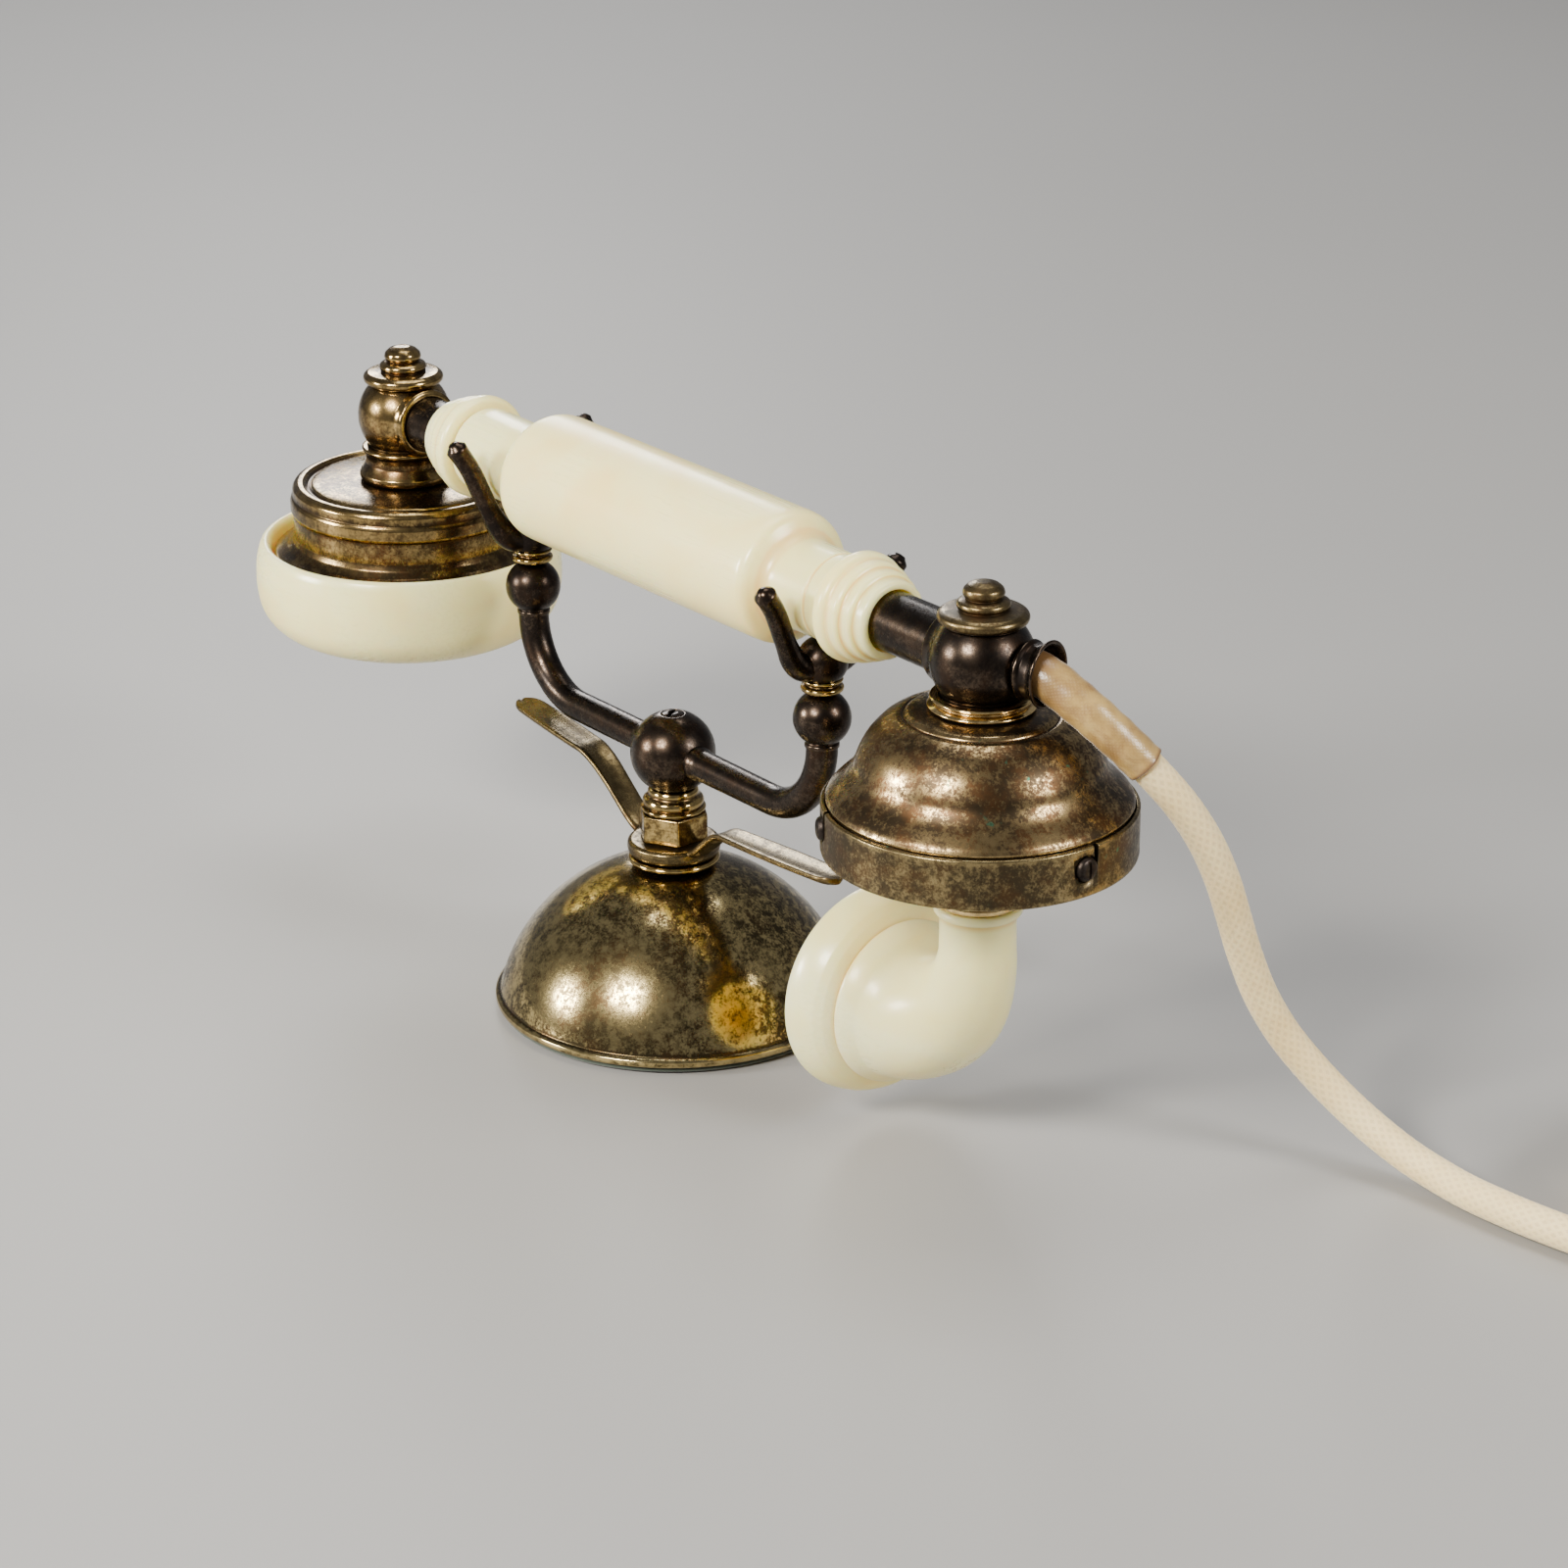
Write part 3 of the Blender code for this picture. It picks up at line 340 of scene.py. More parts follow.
DOME_BRASS = tarnished("dome_brass", (0.56, 0.44, 0.20), (0.062, 0.048, 0.024), 0.70, 1.3,
                       shine=0.12, dull=0.26, blotch=30.0, rust=0.3, fade=0.12)
BELL_BRASS = tarnished("bell_brass", (0.42, 0.30, 0.14), (0.048, 0.034, 0.020), 0.78, 4.1,
                       shine=0.20, dull=0.36, blotch=20.0, green=0.8, rust=0.55, fade=0.13)
BAND_BRASS = tarnished("band_brass", (0.30, 0.23, 0.11), (0.058, 0.044, 0.026), 0.80, 8.3,
                       shine=0.26, dull=0.40, blotch=16.0, green=0.8, rust=0.4)
CUP_BRASS = tarnished("cup_brass", (0.36, 0.25, 0.10), (0.050, 0.034, 0.018), 0.80, 7.7,
                      shine=0.14, dull=0.28, blotch=24.0, rust=0.6, fade=0.24)
WING_BRASS = tarnished("wing_brass", (0.20, 0.148, 0.068), (0.048, 0.036, 0.019), 0.75, 2.2,
                       shine=0.26, dull=0.44, blotch=14.0, rust=0.4)
BRASS = tarnished("polished_brass", (0.84, 0.62, 0.28), (0.26, 0.17, 0.07), 0.36, 6.2,
                  shine=0.10, dull=0.26, blotch=9.0, rust=0.5)
FITTING_BRASS = tarnished("fitting_brass", (0.50, 0.36, 0.14), (0.070, 0.046, 0.020), 0.60, 5.1,
                          shine=0.10, dull=0.24, blotch=8.0, rust=0.5)
BRONZE = tarnished("blackened_bronze", (0.080, 0.058, 0.042), (0.019, 0.015, 0.013), 0.80, 9.4,
                   shine=0.20, dull=0.30, blotch=18.0, rust=0.16)
SCREW_BLACK = tarnished("screw_black", (0.05, 0.04, 0.035), (0.012, 0.010, 0.009), 0.85, 3.3,
                        shine=0.35, dull=0.5, blotch=6.0, rust=0.2, fade=0.3)
GRIP_IVORY = ivory("grip_ivory", 0.4)
CAP_IVORY = ivory("cap_ivory", 2.9)
HORN_IVORY = ivory("horn_ivory", 5.3, (1.0, 0.81, 0.40))
COTTON = braided("braided_cotton_look")
SHEATH = woven_sleeve("woven_sleeve_look")
STEEL = plain_metal("machined_steel", (0.55, 0.55, 0.54), 0.32, 0.8, 1.1)
IRON = plain_metal("rough_iron", (0.10, 0.10, 0.10), 0.65, 1.6, 8.8)
SILVER = plain_metal("spring_metal", (0.72, 0.70, 0.64), 0.28, 0.6, 3.6)
FELT = fibrous("green_felt", (0.018, 0.030, 0.018), 0.95, 0.35, 2.0)
FIBRE = fibrous("pressed_fibre", (0.20, 0.07, 0.035), 0.7, 0.5, 6.0)


# ---------- mesh helpers


def arc(centre_r, centre_z, radius, start, end, steps):
    """Points of an outline along a round stretch, from start to end in degrees."""
    points = []
    for i in range(steps + 1):
        angle = math.radians(start + (end - start) * i / steps)
        points.append((centre_r + radius * math.cos(angle), centre_z + radius * math.sin(angle)))
    return points


def circle(count):
    """Angles all the way round, in radians."""
    return [2 * math.pi * i / count for i in range(count)]


def ramp_up(value, start, end):
    """0 before start, 1 after end, and a smooth rise between."""
    t = min(max((value - start) / (end - start), 0.0), 1.0)
    return t * t * (3 - 2 * t)


WEAR_FADE = 0.9  # millimetres from an edge to where its wear ends
SHARPEST_SMOOTH = math.radians(14)  # a corner that turns less than this stays as it is
FULL_WEAR = math.radians(60)  # a corner that turns this much is worn fully


def eased(outline, soft, ring):
    """The outline with its corners rounded, as (radius, height, wear). Wear is above 0 on an
    outer edge and below 0 in a groove."""
    count = len(outline)
    made = []
    for i, point in enumerate(outline):
        here = Vector(point)
        if not ring and i in (0, count - 1):
            made.append((*here, 0.0))
            continue
        before = Vector(outline[i - 1]) - here
        after = Vector(outline[(i + 1) % count]) - here
        reach = min(before.length, after.length)
        a, b = before.normalized(), after.normalized()
        bend = math.atan2(a.x * b.y - a.y * b.x, -(a.x * b.x + a.y * b.y))
        if abs(bend) < SHARPEST_SMOOTH or reach < 0.02:
            made.append((*here, 0.0))
            continue
        cut = min(soft, 0.42 * reach)
        wear = max(-1.0, min(1.0, bend / FULL_WEAR))
        if before.length > 3 * (cut + WEAR_FADE):
            made.append((*(here + a * (cut + WEAR_FADE)), 0.0))
        for k in range(5):
            t = k / 4
            spot = here + a * (cut * (1 - t) ** 2) + b * (cut * t * t)
            made.append((*spot, wear))
        if after.length > 3 * (cut + WEAR_FADE):
            made.append((*(here + b * (cut + WEAR_FADE)), 0.0))
    return made


def finished(name, made, finish, smooth=True):
    """A piece from a bmesh: welded, faces outwards, shaded smooth."""
    bmesh.ops.remove_doubles(made, verts=made.verts, dist=1e-7)
    bmesh.ops.recalc_face_normals(made, faces=made.faces)
    for face in made.faces:
        face.smooth = smooth
    mesh = bpy.data.meshes.new(name)
    made.to_mesh(mesh)
    made.free()
    mesh.materials.append(finish)
    piece = bpy.data.objects.new(name, mesh)
    bpy.context.scene.collection.objects.link(piece)
    return piece


def stands_for(piece, node):
    """The piece takes the place of a CAD node, with its body. The node is hidden."""
    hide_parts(node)
    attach(piece, BODY_OF[node])
    return piece


def lofted(made, rows, closed=False, wear=None):
    """Faces between rows of points. A row of one point is a pole."""
    layer = made.verts.layers.float.get("wear") or made.verts.layers.float.new("wear")
    built = []
    for i, row in enumerate(rows):
        verts = [made.verts.new(p) for p in row]
        for vert in verts:
            vert[layer] = wear[i] if wear else 0.0
        built.append(verts)
    pairs = list(zip(built, built[1:]))
    if closed:
        pairs.append((built[-1], built[0]))
    for a, b in pairs:
        count = max(len(a), len(b))
        for i in range(count):
            k = (i + 1) % count
            if len(a) == 1:
                made.faces.new((a[0], b[i], b[k]))
            elif len(b) == 1:
                made.faces.new((a[i], b[0], a[k]))
            else:
                made.faces.new((a[i], b[i], b[k], a[k]))


def turned(name, outline, finish, place=(0, 0, 0), turn=None, soft=0.3, sides=112):
    """A turned piece with eased edges, in the row frame."""
    ring = outline[0][0] > 0
    matrix = Matrix.Translation(Vector(place)) @ (turn or Matrix.Identity(4))
    rows = []
    worn = []
    for r, z, wear in eased(outline, soft, ring):
        if r < 1e-6:
            row = [Vector((0, 0, z))]
        else:
            row = [Vector((r * math.cos(q), r * math.sin(q), z)) for q in circle(sides)]
        rows.append([matrix @ p * MM for p in row])
        worn.append(wear)
    made = bmesh.new()
    lofted(made, rows, ring, worn)
    return finished(name, made, finish)


def fine(node, outline, finish, place=(0, 0, 0), turn=None, soft=0.3, sides=112):
    """A turned piece that stands for a CAD node."""
    return stands_for(turned(f"{node}_fine", outline, finish, place, turn, soft, sides), node)


def carved(piece, *cutters, operation="DIFFERENCE"):
    """Cuts the cutters out of the piece, or joins them to it, and removes them."""
    for tool in cutters:
        step = piece.modifiers.new(tool.name, "BOOLEAN")
        step.operation = operation
        step.solver = "EXACT"
        step.object = tool
    bpy.context.view_layer.update()
    shape = piece.evaluated_get(bpy.context.evaluated_depsgraph_get())
    mesh = bpy.data.meshes.new_from_object(shape)
    piece.modifiers.clear()
    piece.data = mesh
    for tool in cutters:
        bpy.data.objects.remove(tool, do_unlink=True)
    return piece


def smooth_line(points, steps):
    """A smooth curve through the given points, with steps points to a span."""
    knots = [Vector(p) for p in points]
    knots = [2 * knots[0] - knots[1]] + knots + [2 * knots[-1] - knots[-2]]
    made = []
    for i in range(1, len(knots) - 2):
        a, b, c, d = knots[i - 1 : i + 3]
        for k in range(steps):
            t = k / steps
            made.append(0.5 * (2 * b + (c - a) * t + (2 * a - 5 * b + 4 * c - d) * t * t
                               + (3 * b - a - 3 * c + d) * t ** 3))
    made.append(knots[-2])
    return made


def smooth_outline(points, steps):
    """An outline's curved stretch through the given (radius, height) points."""
    return [(p.x, p.y) for p in smooth_line([(r, z, 0) for r, z in points], steps)]


def even_line(points, step):
    """The same line with its points a step apart."""
    lengths = [0.0]
    for a, b in zip(points, points[1:]):
        lengths.append(lengths[-1] + (b - a).length)
    count = max(2, round(lengths[-1] / step))
    made = []
    k = 0
    for i in range(count + 1):
        want = lengths[-1] * i / count
        while k < len(points) - 2 and lengths[k + 1] < want:
            k += 1
        share = (want - lengths[k]) / max(lengths[k + 1] - lengths[k], 1e-9)
        made.append(points[k].lerp(points[k + 1], share))
    return made


def round_tube(name, line, radius, finish, sides, wear=None, cap=0.4):
    """A tube along a line of points in millimetres. radius is a number, or a function of the share
    of the length and the angle round the tube. It has a wrap map: metres along, turns round."""
    shape = radius if callable(radius) else (lambda share, angle: radius)
    made = bmesh.new()
    wrap = made.loops.layers.uv.new("wrap")
    layer = made.verts.layers.float.new("wear")
    side = None
    rows = []
    total = sum((b - a).length for a, b in zip(line, line[1:]))
    run = 0.0
    marks = []
    for i, point in enumerate(line):
        ahead = line[min(i + 1, len(line) - 1)] - line[max(i - 1, 0)]
        ahead.normalize()
        if side is None:
            side = ahead.orthogonal().normalized()
        side = (side - ahead * side.dot(ahead)).normalized()
        up = ahead.cross(side)
        if i:
            run += (point - line[i - 1]).length
        share = run / total
        row = []
        for angle in circle(sides):
            out = side * math.cos(angle) + up * math.sin(angle)
            vert = made.verts.new((point + out * shape(share, angle)) * MM)
            vert[layer] = wear(share) if wear else 0.0
            row.append(vert)
        rows.append(row)
        marks.append(run * MM)
    for a, b, u, v in zip(rows, rows[1:], marks, marks[1:]):
        for k in range(sides):
            n = (k + 1) % sides
            face = made.faces.new((a[k], a[n], b[n], b[k]))
            spots = ((u, k), (u, k + 1), (v, k + 1), (v, k))
            for loop, (x, y) in zip(face.loops, spots):
                loop[wrap].uv = (x, y / sides)
    for row, inner, away in ((rows[0], line[0], line[0] - line[1]),
                             (rows[-1], line[-1], line[-1] - line[-2])):
        rim = []
        for vert in row:
            spot = inner + (vert.co / MM - inner) * (1 - cap * 0.5) + away.normalized() * cap
            rim.append(made.verts.new(spot * MM))
        centre = made.verts.new((inner + away.normalized() * cap * 1.3) * MM)
        for k in range(sides):
            n = (k + 1) % sides
            made.faces.new((row[k], rim[k], rim[n], row[n]))
            made.faces.new((rim[k], centre, rim[n]))
    return finished(name, made, finish)


def box_tool(name, low, high, turn=None):
    """A block that cuts a slot."""
    made = bmesh.new()
    size = Vector(high) - Vector(low)
    place = Matrix.Translation((Vector(high) + Vector(low)) / 2)
    bmesh.ops.create_cube(made, size=1.0, matrix=place @ Matrix.Diagonal((*size, 1)))
    bmesh.ops.transform(made, matrix=turn or Matrix.Identity(4), verts=made.verts)
    bmesh.ops.scale(made, vec=(MM, MM, MM), verts=made.verts)
    return finished(name, made, BRONZE, smooth=False)


def pipe_tool(name, radius, start, end, sides=48):
    """A round bar that cuts a hole."""
    line = [Vector(start), Vector(end)]
    return round_tube(name, line, radius, BRONZE, sides, cap=0.001)


# ---------- cord

SLEEVE_ROUTE = [(110.8, 3.2, 107.5), (113.2, 3.9, 107.0), (116.3, 5.3, 105.3), (119.7, 6.9, 103.0),
                (122.7, 8.7, 100.5), (125.2, 10.6, 97.8), (127.5, 12.7, 95.0), (129.9, 15.4, 91.4)]
CORD_ROUTE = [
    (130.1, 15.7, 91.0), (133.4, 21.2, 83.4), (135.1, 26.6, 74.8), (135.3, 31.6, 65.2),
    (134.8, 35.6, 56.0), (134.3, 39.3, 47.3), (134.8, 43.7, 37.3), (136.9, 48.2, 28.5),
    (140.6, 52.6, 21.1), (145.8, 56.3, 14.9), (152.1, 59.3, 9.9), (159.6, 61.5, 6.2),
    (167.5, 62.7, 4.3), (176.0, 63.1, 3.6), (186.5, 63.8, 3.55), (196.0, 65.0, 3.55),
    (204.6, 66.6, 3.55), (213.0, 68.2, 3.55), (221.2, 69.8, 3.55),
]
CORD_D = 7.0
COIL_CENTRE = Vector((221.95, 110.16, 0.0))
COIL_MID_R = 36.0
COIL_START = -79.0  # where the cord meets the coil, in degrees round it
LOWER_TURNS_Z = 3.55
UPPER_TURNS_Z = 10.55
GROOVE_RISE = 6.1  # a third layer lies in the groove between the upper turns
PLUG_ANGLE = 60.0
PLUG_OFFSET = 32.0
PLUG_Z = 22.4
PLUG_BACK = 19.6
TIE_ANGLE = 250.0
BRAID_DEPTH = 0.06


def over_coil(angle, radius, z):
    """A point at a compass angle in degrees about the coil's middle."""
    a = math.radians(angle)
    return COIL_CENTRE + Vector((radius * math.cos(a), radius * math.sin(a), z))


def coil_point(turned_by):
    """The cord's middle after turning by so many degrees round the coil: an outer and an inner
    lower turn, an inner and an outer upper turn, and then the groove on top of those two."""
    half = CORD_D / 2
    radius = COIL_MID_R + half
    radius -= CORD_D * ramp_up(turned_by, 305, 365)
    radius += CORD_D * ramp_up(turned_by, 925, 985)
    radius -= half * ramp_up(turned_by, 1262, 1312)
    height = LOWER_TURNS_Z + (UPPER_TURNS_Z - LOWER_TURNS_Z) * ramp_up(turned_by, 600, 665)
    over = 0.95  # it climbs over the edge of the turn below before it settles in the groove
    height += (GROOVE_RISE + over) * ramp_up(turned_by, 1240, 1290)
    height -= over * ramp_up(turned_by, 1310, 1345)
    return over_coil(COIL_START + turned_by, radius, height)


def cord_line():
    """The whole cord: down from the sleeve, along the table, round the coil and up to the plug."""
    turns = [coil_point(a) for a in range(0, 1450, 10)]
    a = math.radians(PLUG_ANGLE)
    along = Vector((-math.sin(a), math.cos(a), 0))
    back = over_coil(PLUG_ANGLE, PLUG_OFFSET, PLUG_Z) - along * PLUG_BACK
    rise = [over_coil(-56, 36.1, 16.7), over_coil(-40, 37.4, 17.2), over_coil(-22, 40.2, 18.0),
            over_coil(-6, 42.5, 19.2), over_coil(8, 43.2, 20.6), over_coil(17.5, 41.7, 21.7),
            back - along * 3.5, back]
    knots = [Vector(p) for p in CORD_ROUTE] + turns + rise
    return even_line(smooth_line(knots, 8), 0.62)


def add_cord():
    line = cord_line()
    length = sum((b - a).length for a, b in zip(line, line[1:]))

    def braid(share, turn):
        run = 2 * math.pi * share * length / BRAID_PITCH
        left = math.sin(BRAID_STRANDS * turn + run)
        right = math.sin(-BRAID_STRANDS * turn + run)
        return CORD_D / 2 - BRAID_DEPTH + BRAID_DEPTH * max(left, right)

    cord = round_tube("handset_cord_fine", line, braid, COTTON, 48)
    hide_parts("handset_cord", "cord_coil", "cord_tail")
    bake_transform(cord)
    return cord, line, length


def add_sleeve():
    line = even_line(smooth_line(SLEEVE_ROUTE, 8), 0.4)
    total = sum((b - a).length for a, b in zip(line, line[1:]))

    def wrinkled(share, turn):
        taper = 4.35 - 0.3 * share
        folds = 0.06 * math.sin(share * 37 + 2 * math.sin(turn))
        folds += 0.04 * math.sin(3 * turn + share * 9)
        lip = 0.18 * ramp_up(share, 0.93, 0.99)
        return taper + folds + lip * (0.6 + 0.4 * math.sin(5 * turn))

    def frayed(share):
        return 0.9 * (ramp_up(share, 0.955, 1.0) + 1 - ramp_up(share * total, 1.0, 8.0))

    sleeve = round_tube("cord_sleeve_fine", line, wrinkled, SHEATH, 40, frayed, 0.3)
    return stands_for(sleeve, "cord_sleeve")


def add_plug():
    a = math.radians(PLUG_ANGLE)
    place = over_coil(PLUG_ANGLE, PLUG_OFFSET, PLUG_Z)
    face = Matrix.Rotation(a + math.pi / 2, 4, "Z") @ ALONG_X
    body = [(0, 11.0), (6.8, 11.0), (7.6, 10.2), (7.6, 8.6), (8.0, 8.2)]
    for i in range(5):
        z = 7.4 - 1.5 * i
        body += [(8.0, z), (7.6, z - 0.4), (7.6, z - 0.7), (8.0, z - 1.1)]
    body += [(7.4, -1.2), (6.6, -6.0), (6.3, -12.0), (5.6, -17.0), (5.3, -18.6), (5.5, -19.2),
             (5.2, -20.0), (0, -20.0)]
    plug = fine("cord_plug", body, CAP_IVORY, place, face, 0.35)
    jack = [(0, 30.0), (0.8, 29.8), (1.4, 29.4), (2.9, 27.0), (2.2, 25.4), (3.0, 24.2),
            (3.17, 23.8), (3.17, 18.2), (2.95, 17.9), (2.95, 17.2), (3.17, 16.9), (3.17, 11.3),
            (0, 11.3)]
    contact = fine("plug_contact", jack, BRASS, place, face, 0.15, 64)
    return plug, contact


def add_tie():
    """A strip of tape drawn tight round the turns, on one side of the coil."""
    half = CORD_D / 2
    turns = [Vector((r, z)) for z in (LOWER_TURNS_Z, UPPER_TURNS_Z) for r in (-half, half)]
    turns.append(Vector((0, UPPER_TURNS_Z + GROOVE_RISE)))
    a = math.radians(TIE_ANGLE)
    radial = Vector((math.cos(a), math.sin(a), 0))
    along = Vector((-math.sin(a), math.cos(a), 0))
    rows = []
    for proud, shift in ((0.05, -4.6), (0.45, -4.3), (0.6, 0.0), (0.45, 4.3), (0.05, 4.6)):
        row = []
        for q in circle(72):
            way = Vector((math.cos(q), math.sin(q)))
            spot = max(turns, key=lambda c: c.dot(way)) + way * (half + proud)
            place = COIL_CENTRE + radial * (COIL_MID_R + spot.x) + along * shift
            row.append(Vector((place.x, place.y, max(spot.y, 0.0))) * MM)
        rows.append(row)
    made = bmesh.new()
    lofted(made, rows, closed=True)
    tie = finished("coil_tie", made, SHEATH)
    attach(tie, "cradle")
    return tie


def add_cords():
    cord, line, length = add_cord()
    sleeve = add_sleeve()
    plug, contact = add_plug()
    tie = add_tie()


# ---------- stand


def add_foot():
    centre, radius, wall = -6.4, 39.1, 1.2
    dome = arc(0, centre, radius, 82.0, 14.4, 60)
    shell = [(38.35, 3.1), (38.9, 2.7), (38.95, 1.9), (38.7, 1.3), (37.3, 1.3)]
    inside = arc(0, centre, radius - wall, 13.0, 82.0, 20)
    fine("base_dome", dome + shell + inside, DOME_BRASS, soft=0.25, sides=200)
    felt = [(0, 1.0), (37.4, 1.0), (38.0, 0.6), (38.0, 0.25), (37.6, 0.0), (0, 0.0)]
    fine("felt_foot", felt, FELT, soft=0.2, sides=200)


def add_stem():
    washer = [(8.6, 34.2), (9.5, 34.0), (9.9, 33.5), (9.8, 33.0), (8.9, 32.7), (STEM_HOLE_R, 32.7),
              (STEM_HOLE_R, 34.2)]
    fine("stem_washer", washer, FITTING_BRASS, soft=0.3)
    collar = [(4.5, 49.6), (5.1, 49.3), (5.45, 48.7), (5.4, 48.0), (5.7, 47.6), (6.3, 47.2),
              (6.6, 46.5), (6.4, 45.7), (6.1, 45.4), (6.9, 45.1), (7.0, 44.8), (6.9, 44.5),
              (STEM_HOLE_R, 44.5), (STEM_HOLE_R, 47.3), (2.7, 47.3), (2.7, 49.6)]
    fine("neck_collar", collar, FITTING_BRASS, soft=0.25)
    made = bmesh.new()
    bmesh.ops.create_cone(made, cap_ends=True, segments=6, radius1=7.9, radius2=7.9, depth=6.1)
    bmesh.ops.bevel(made, geom=list(made.edges), offset=0.45, segments=4, affect="EDGES",
                    profile=0.5)
    bmesh.ops.translate(made, vec=(0, 0, 41.1), verts=made.verts)
    bmesh.ops.scale(made, vec=(MM, MM, MM), verts=made.verts)
    nut = finished("hex_nut_fine", made, FITTING_BRASS, smooth=False)
    nut.data.shade_smooth()
    nut.data.set_sharp_from_angle(angle=math.radians(28))
    bore = pipe_tool("nut_bore", STEM_HOLE_R, (0, 0, 36), (0, 0, 46))
    stands_for(carved(nut, bore), "hex_nut")


WING_Z = 36.2
WING_REACH = 56.5
# Where each wing starts to rise, over what run, by how much, and its slope from there on.
WING_BENDS = {1: (6.0, 14.0, 7.9, 0.06), -1: (7.0, 25.0, 12.6, 0.11)}


def wing_height(x, side):
    """Height of the wing's middle at distance x from the stem: a steep rise, then a gentle one."""
    start, run, rise, slope = WING_BENDS[side]
    return WING_Z + rise * ramp_up(x, start, start + run) + slope * max(x - start - run, 0.0)


def wing_half_width(x):
    """Half width of the wing: a little waist, then a paddle with a round end."""
    paddle = 3.1 + 0.6 * math.sin(math.pi * min(max((x - 20) / 40, 0), 1))
    left = WING_REACH - x
    return paddle * math.sqrt(max(1 - (1 - min(left / 4.2, 1.0)) ** 2, 0.0))


def add_wings():
    ring = [(9.2, 37.6), (9.9, 37.1), (10.0, 36.1), (9.9, 35.1), (9.2, 34.5), (STEM_HOLE_R, 34.5),
            (STEM_HOLE_R, 37.6)]
    wings = turned("finger_wings_fine", ring, WING_BRASS, soft=0.35)
    stations = [7.5 + 0.9 * i for i in range(52)] + [54.0, 54.6, 55.2, 55.7, 56.1, 56.35, 56.45]
    blades = []
    for side in (1, -1):
        rows = []
        for x in stations:
            half = wing_half_width(x)
            slope = (wing_height(x + 0.1, side) - wing_height(x - 0.1, side)) / 0.2
            normal = Vector((-slope, 0, 1)).normalized()
            thick = min(1.0, 0.4 + half * 0.2)
            row = []
            for q in circle(40):
                y = half * math.copysign(abs(math.cos(q)) ** 0.8, math.cos(q))
                lift = thick * math.copysign(abs(math.sin(q)) ** 0.7, math.sin(q))
                dish = 0.0
                if half > 0.5:
                    dish = (0.7 * (y / half) ** 2 - 0.1) * ramp_up(x, 8.0, 20.0)
                spot = Vector((x, 0, wing_height(x, side))) + normal * (lift + dish)
                row.append(Vector((spot.x * side, y * side, spot.z)) * MM)
            rows.append(row)
        tip = Vector((WING_REACH * side, 0, wing_height(WING_REACH, side))) * MM
        root = Vector((7.0 * side, 0, wing_height(7.0, side))) * MM
        made = bmesh.new()
        worn = [0.0] + [0.25] * len(rows) + [0.5]
        lofted(made, [[root]] + rows + [[tip]], False, worn)
        blades.append(finished(f"wing_{side}", made, WING_BRASS))
    stands_for(carved(wings, *blades, operation="UNION"), "finger_wings")


# ---------- cradle


def add_cradle():
    hub = [(0, 63.4), (2.45, 63.4), (2.5, 65.9)]
    hub += arc(0, HUB_Z, HUB_R, 71.5, -46.0, 40)
    hub += [(5.7, 50.4), (5.3, 49.9), (2.7, 49.9), (2.7, 55.0), (0, 55.0)]
    fine("cradle_hub", hub, BRONZE, soft=0.2, sides=128)
    screw = [(0, 66.3), (1.3, 66.2), (2.2, 65.95), (2.4, 65.75), (2.4, 63.7), (0, 63.7)]
    screw = turned("hub_screw_fine", screw, BRONZE, soft=0.2, sides=64)
    slit = box_tool("hub_slot", (-0.4, -4, 65.3), (0.4, 4, 67), Matrix.Rotation(0.5, 4, "Z"))
    stands_for(carved(screw, slit), "hub_screw")
    for side, label in ((1, "right"), (-1, "left")):
        add_arm(side, label)
        add_fork(side, label)


def add_arm(side, label):
    bend = 17.0
    corner = FORK_X - bend
    line = [Vector((x * side, 0, HUB_Z)) for x in (6.4, HUB_R - 0.1, corner)]
    for i in range(1, 31):
        a = math.radians(90 * i / 30)
        x, z = corner + bend * math.sin(a), HUB_Z + bend * (1 - math.cos(a))
        line.append(Vector((x * side, 0, z)))
    line.append(Vector((FORK_X * side, 0, LOWER_BALL_Z - 4.9)))
    line = even_line(line, 0.6)

    def rod(share, turn):
        shoulder = 0.35 * (1 - ramp_up(share, 0.055, 0.075))
        return 3.3 + shoulder + 0.03 * math.sin(9 * share + 2 * turn)

    stands_for(round_tube(f"arm_{label}_fine", line, rod, BRONZE, 56), f"arm_{label}")
    place = (FORK_X * side, 0, 0)
    ball = arc(0, LOWER_BALL_Z, 6.0, 66.0, -58.0, 36)
    collar = [(3.6, 75.1), (3.6, 74.3), (0, 74.3)]
    fine(f"lower_ball_{label}", [(0, ball[0][1])] + ball + collar, BRONZE, place, soft=0.2)
    ring = [(0, 89.3), (3.9, 89.3), (4.35, 88.95), (4.1, 88.5), (3.4, 88.1), (3.5, 87.8),
            (4.4, 87.5), (4.5, 87.1), (4.3, 86.6), (3.6, 86.2), (0, 86.2)]
    fine(f"fork_collar_{label}", ring, FITTING_BRASS, place, soft=0.2)


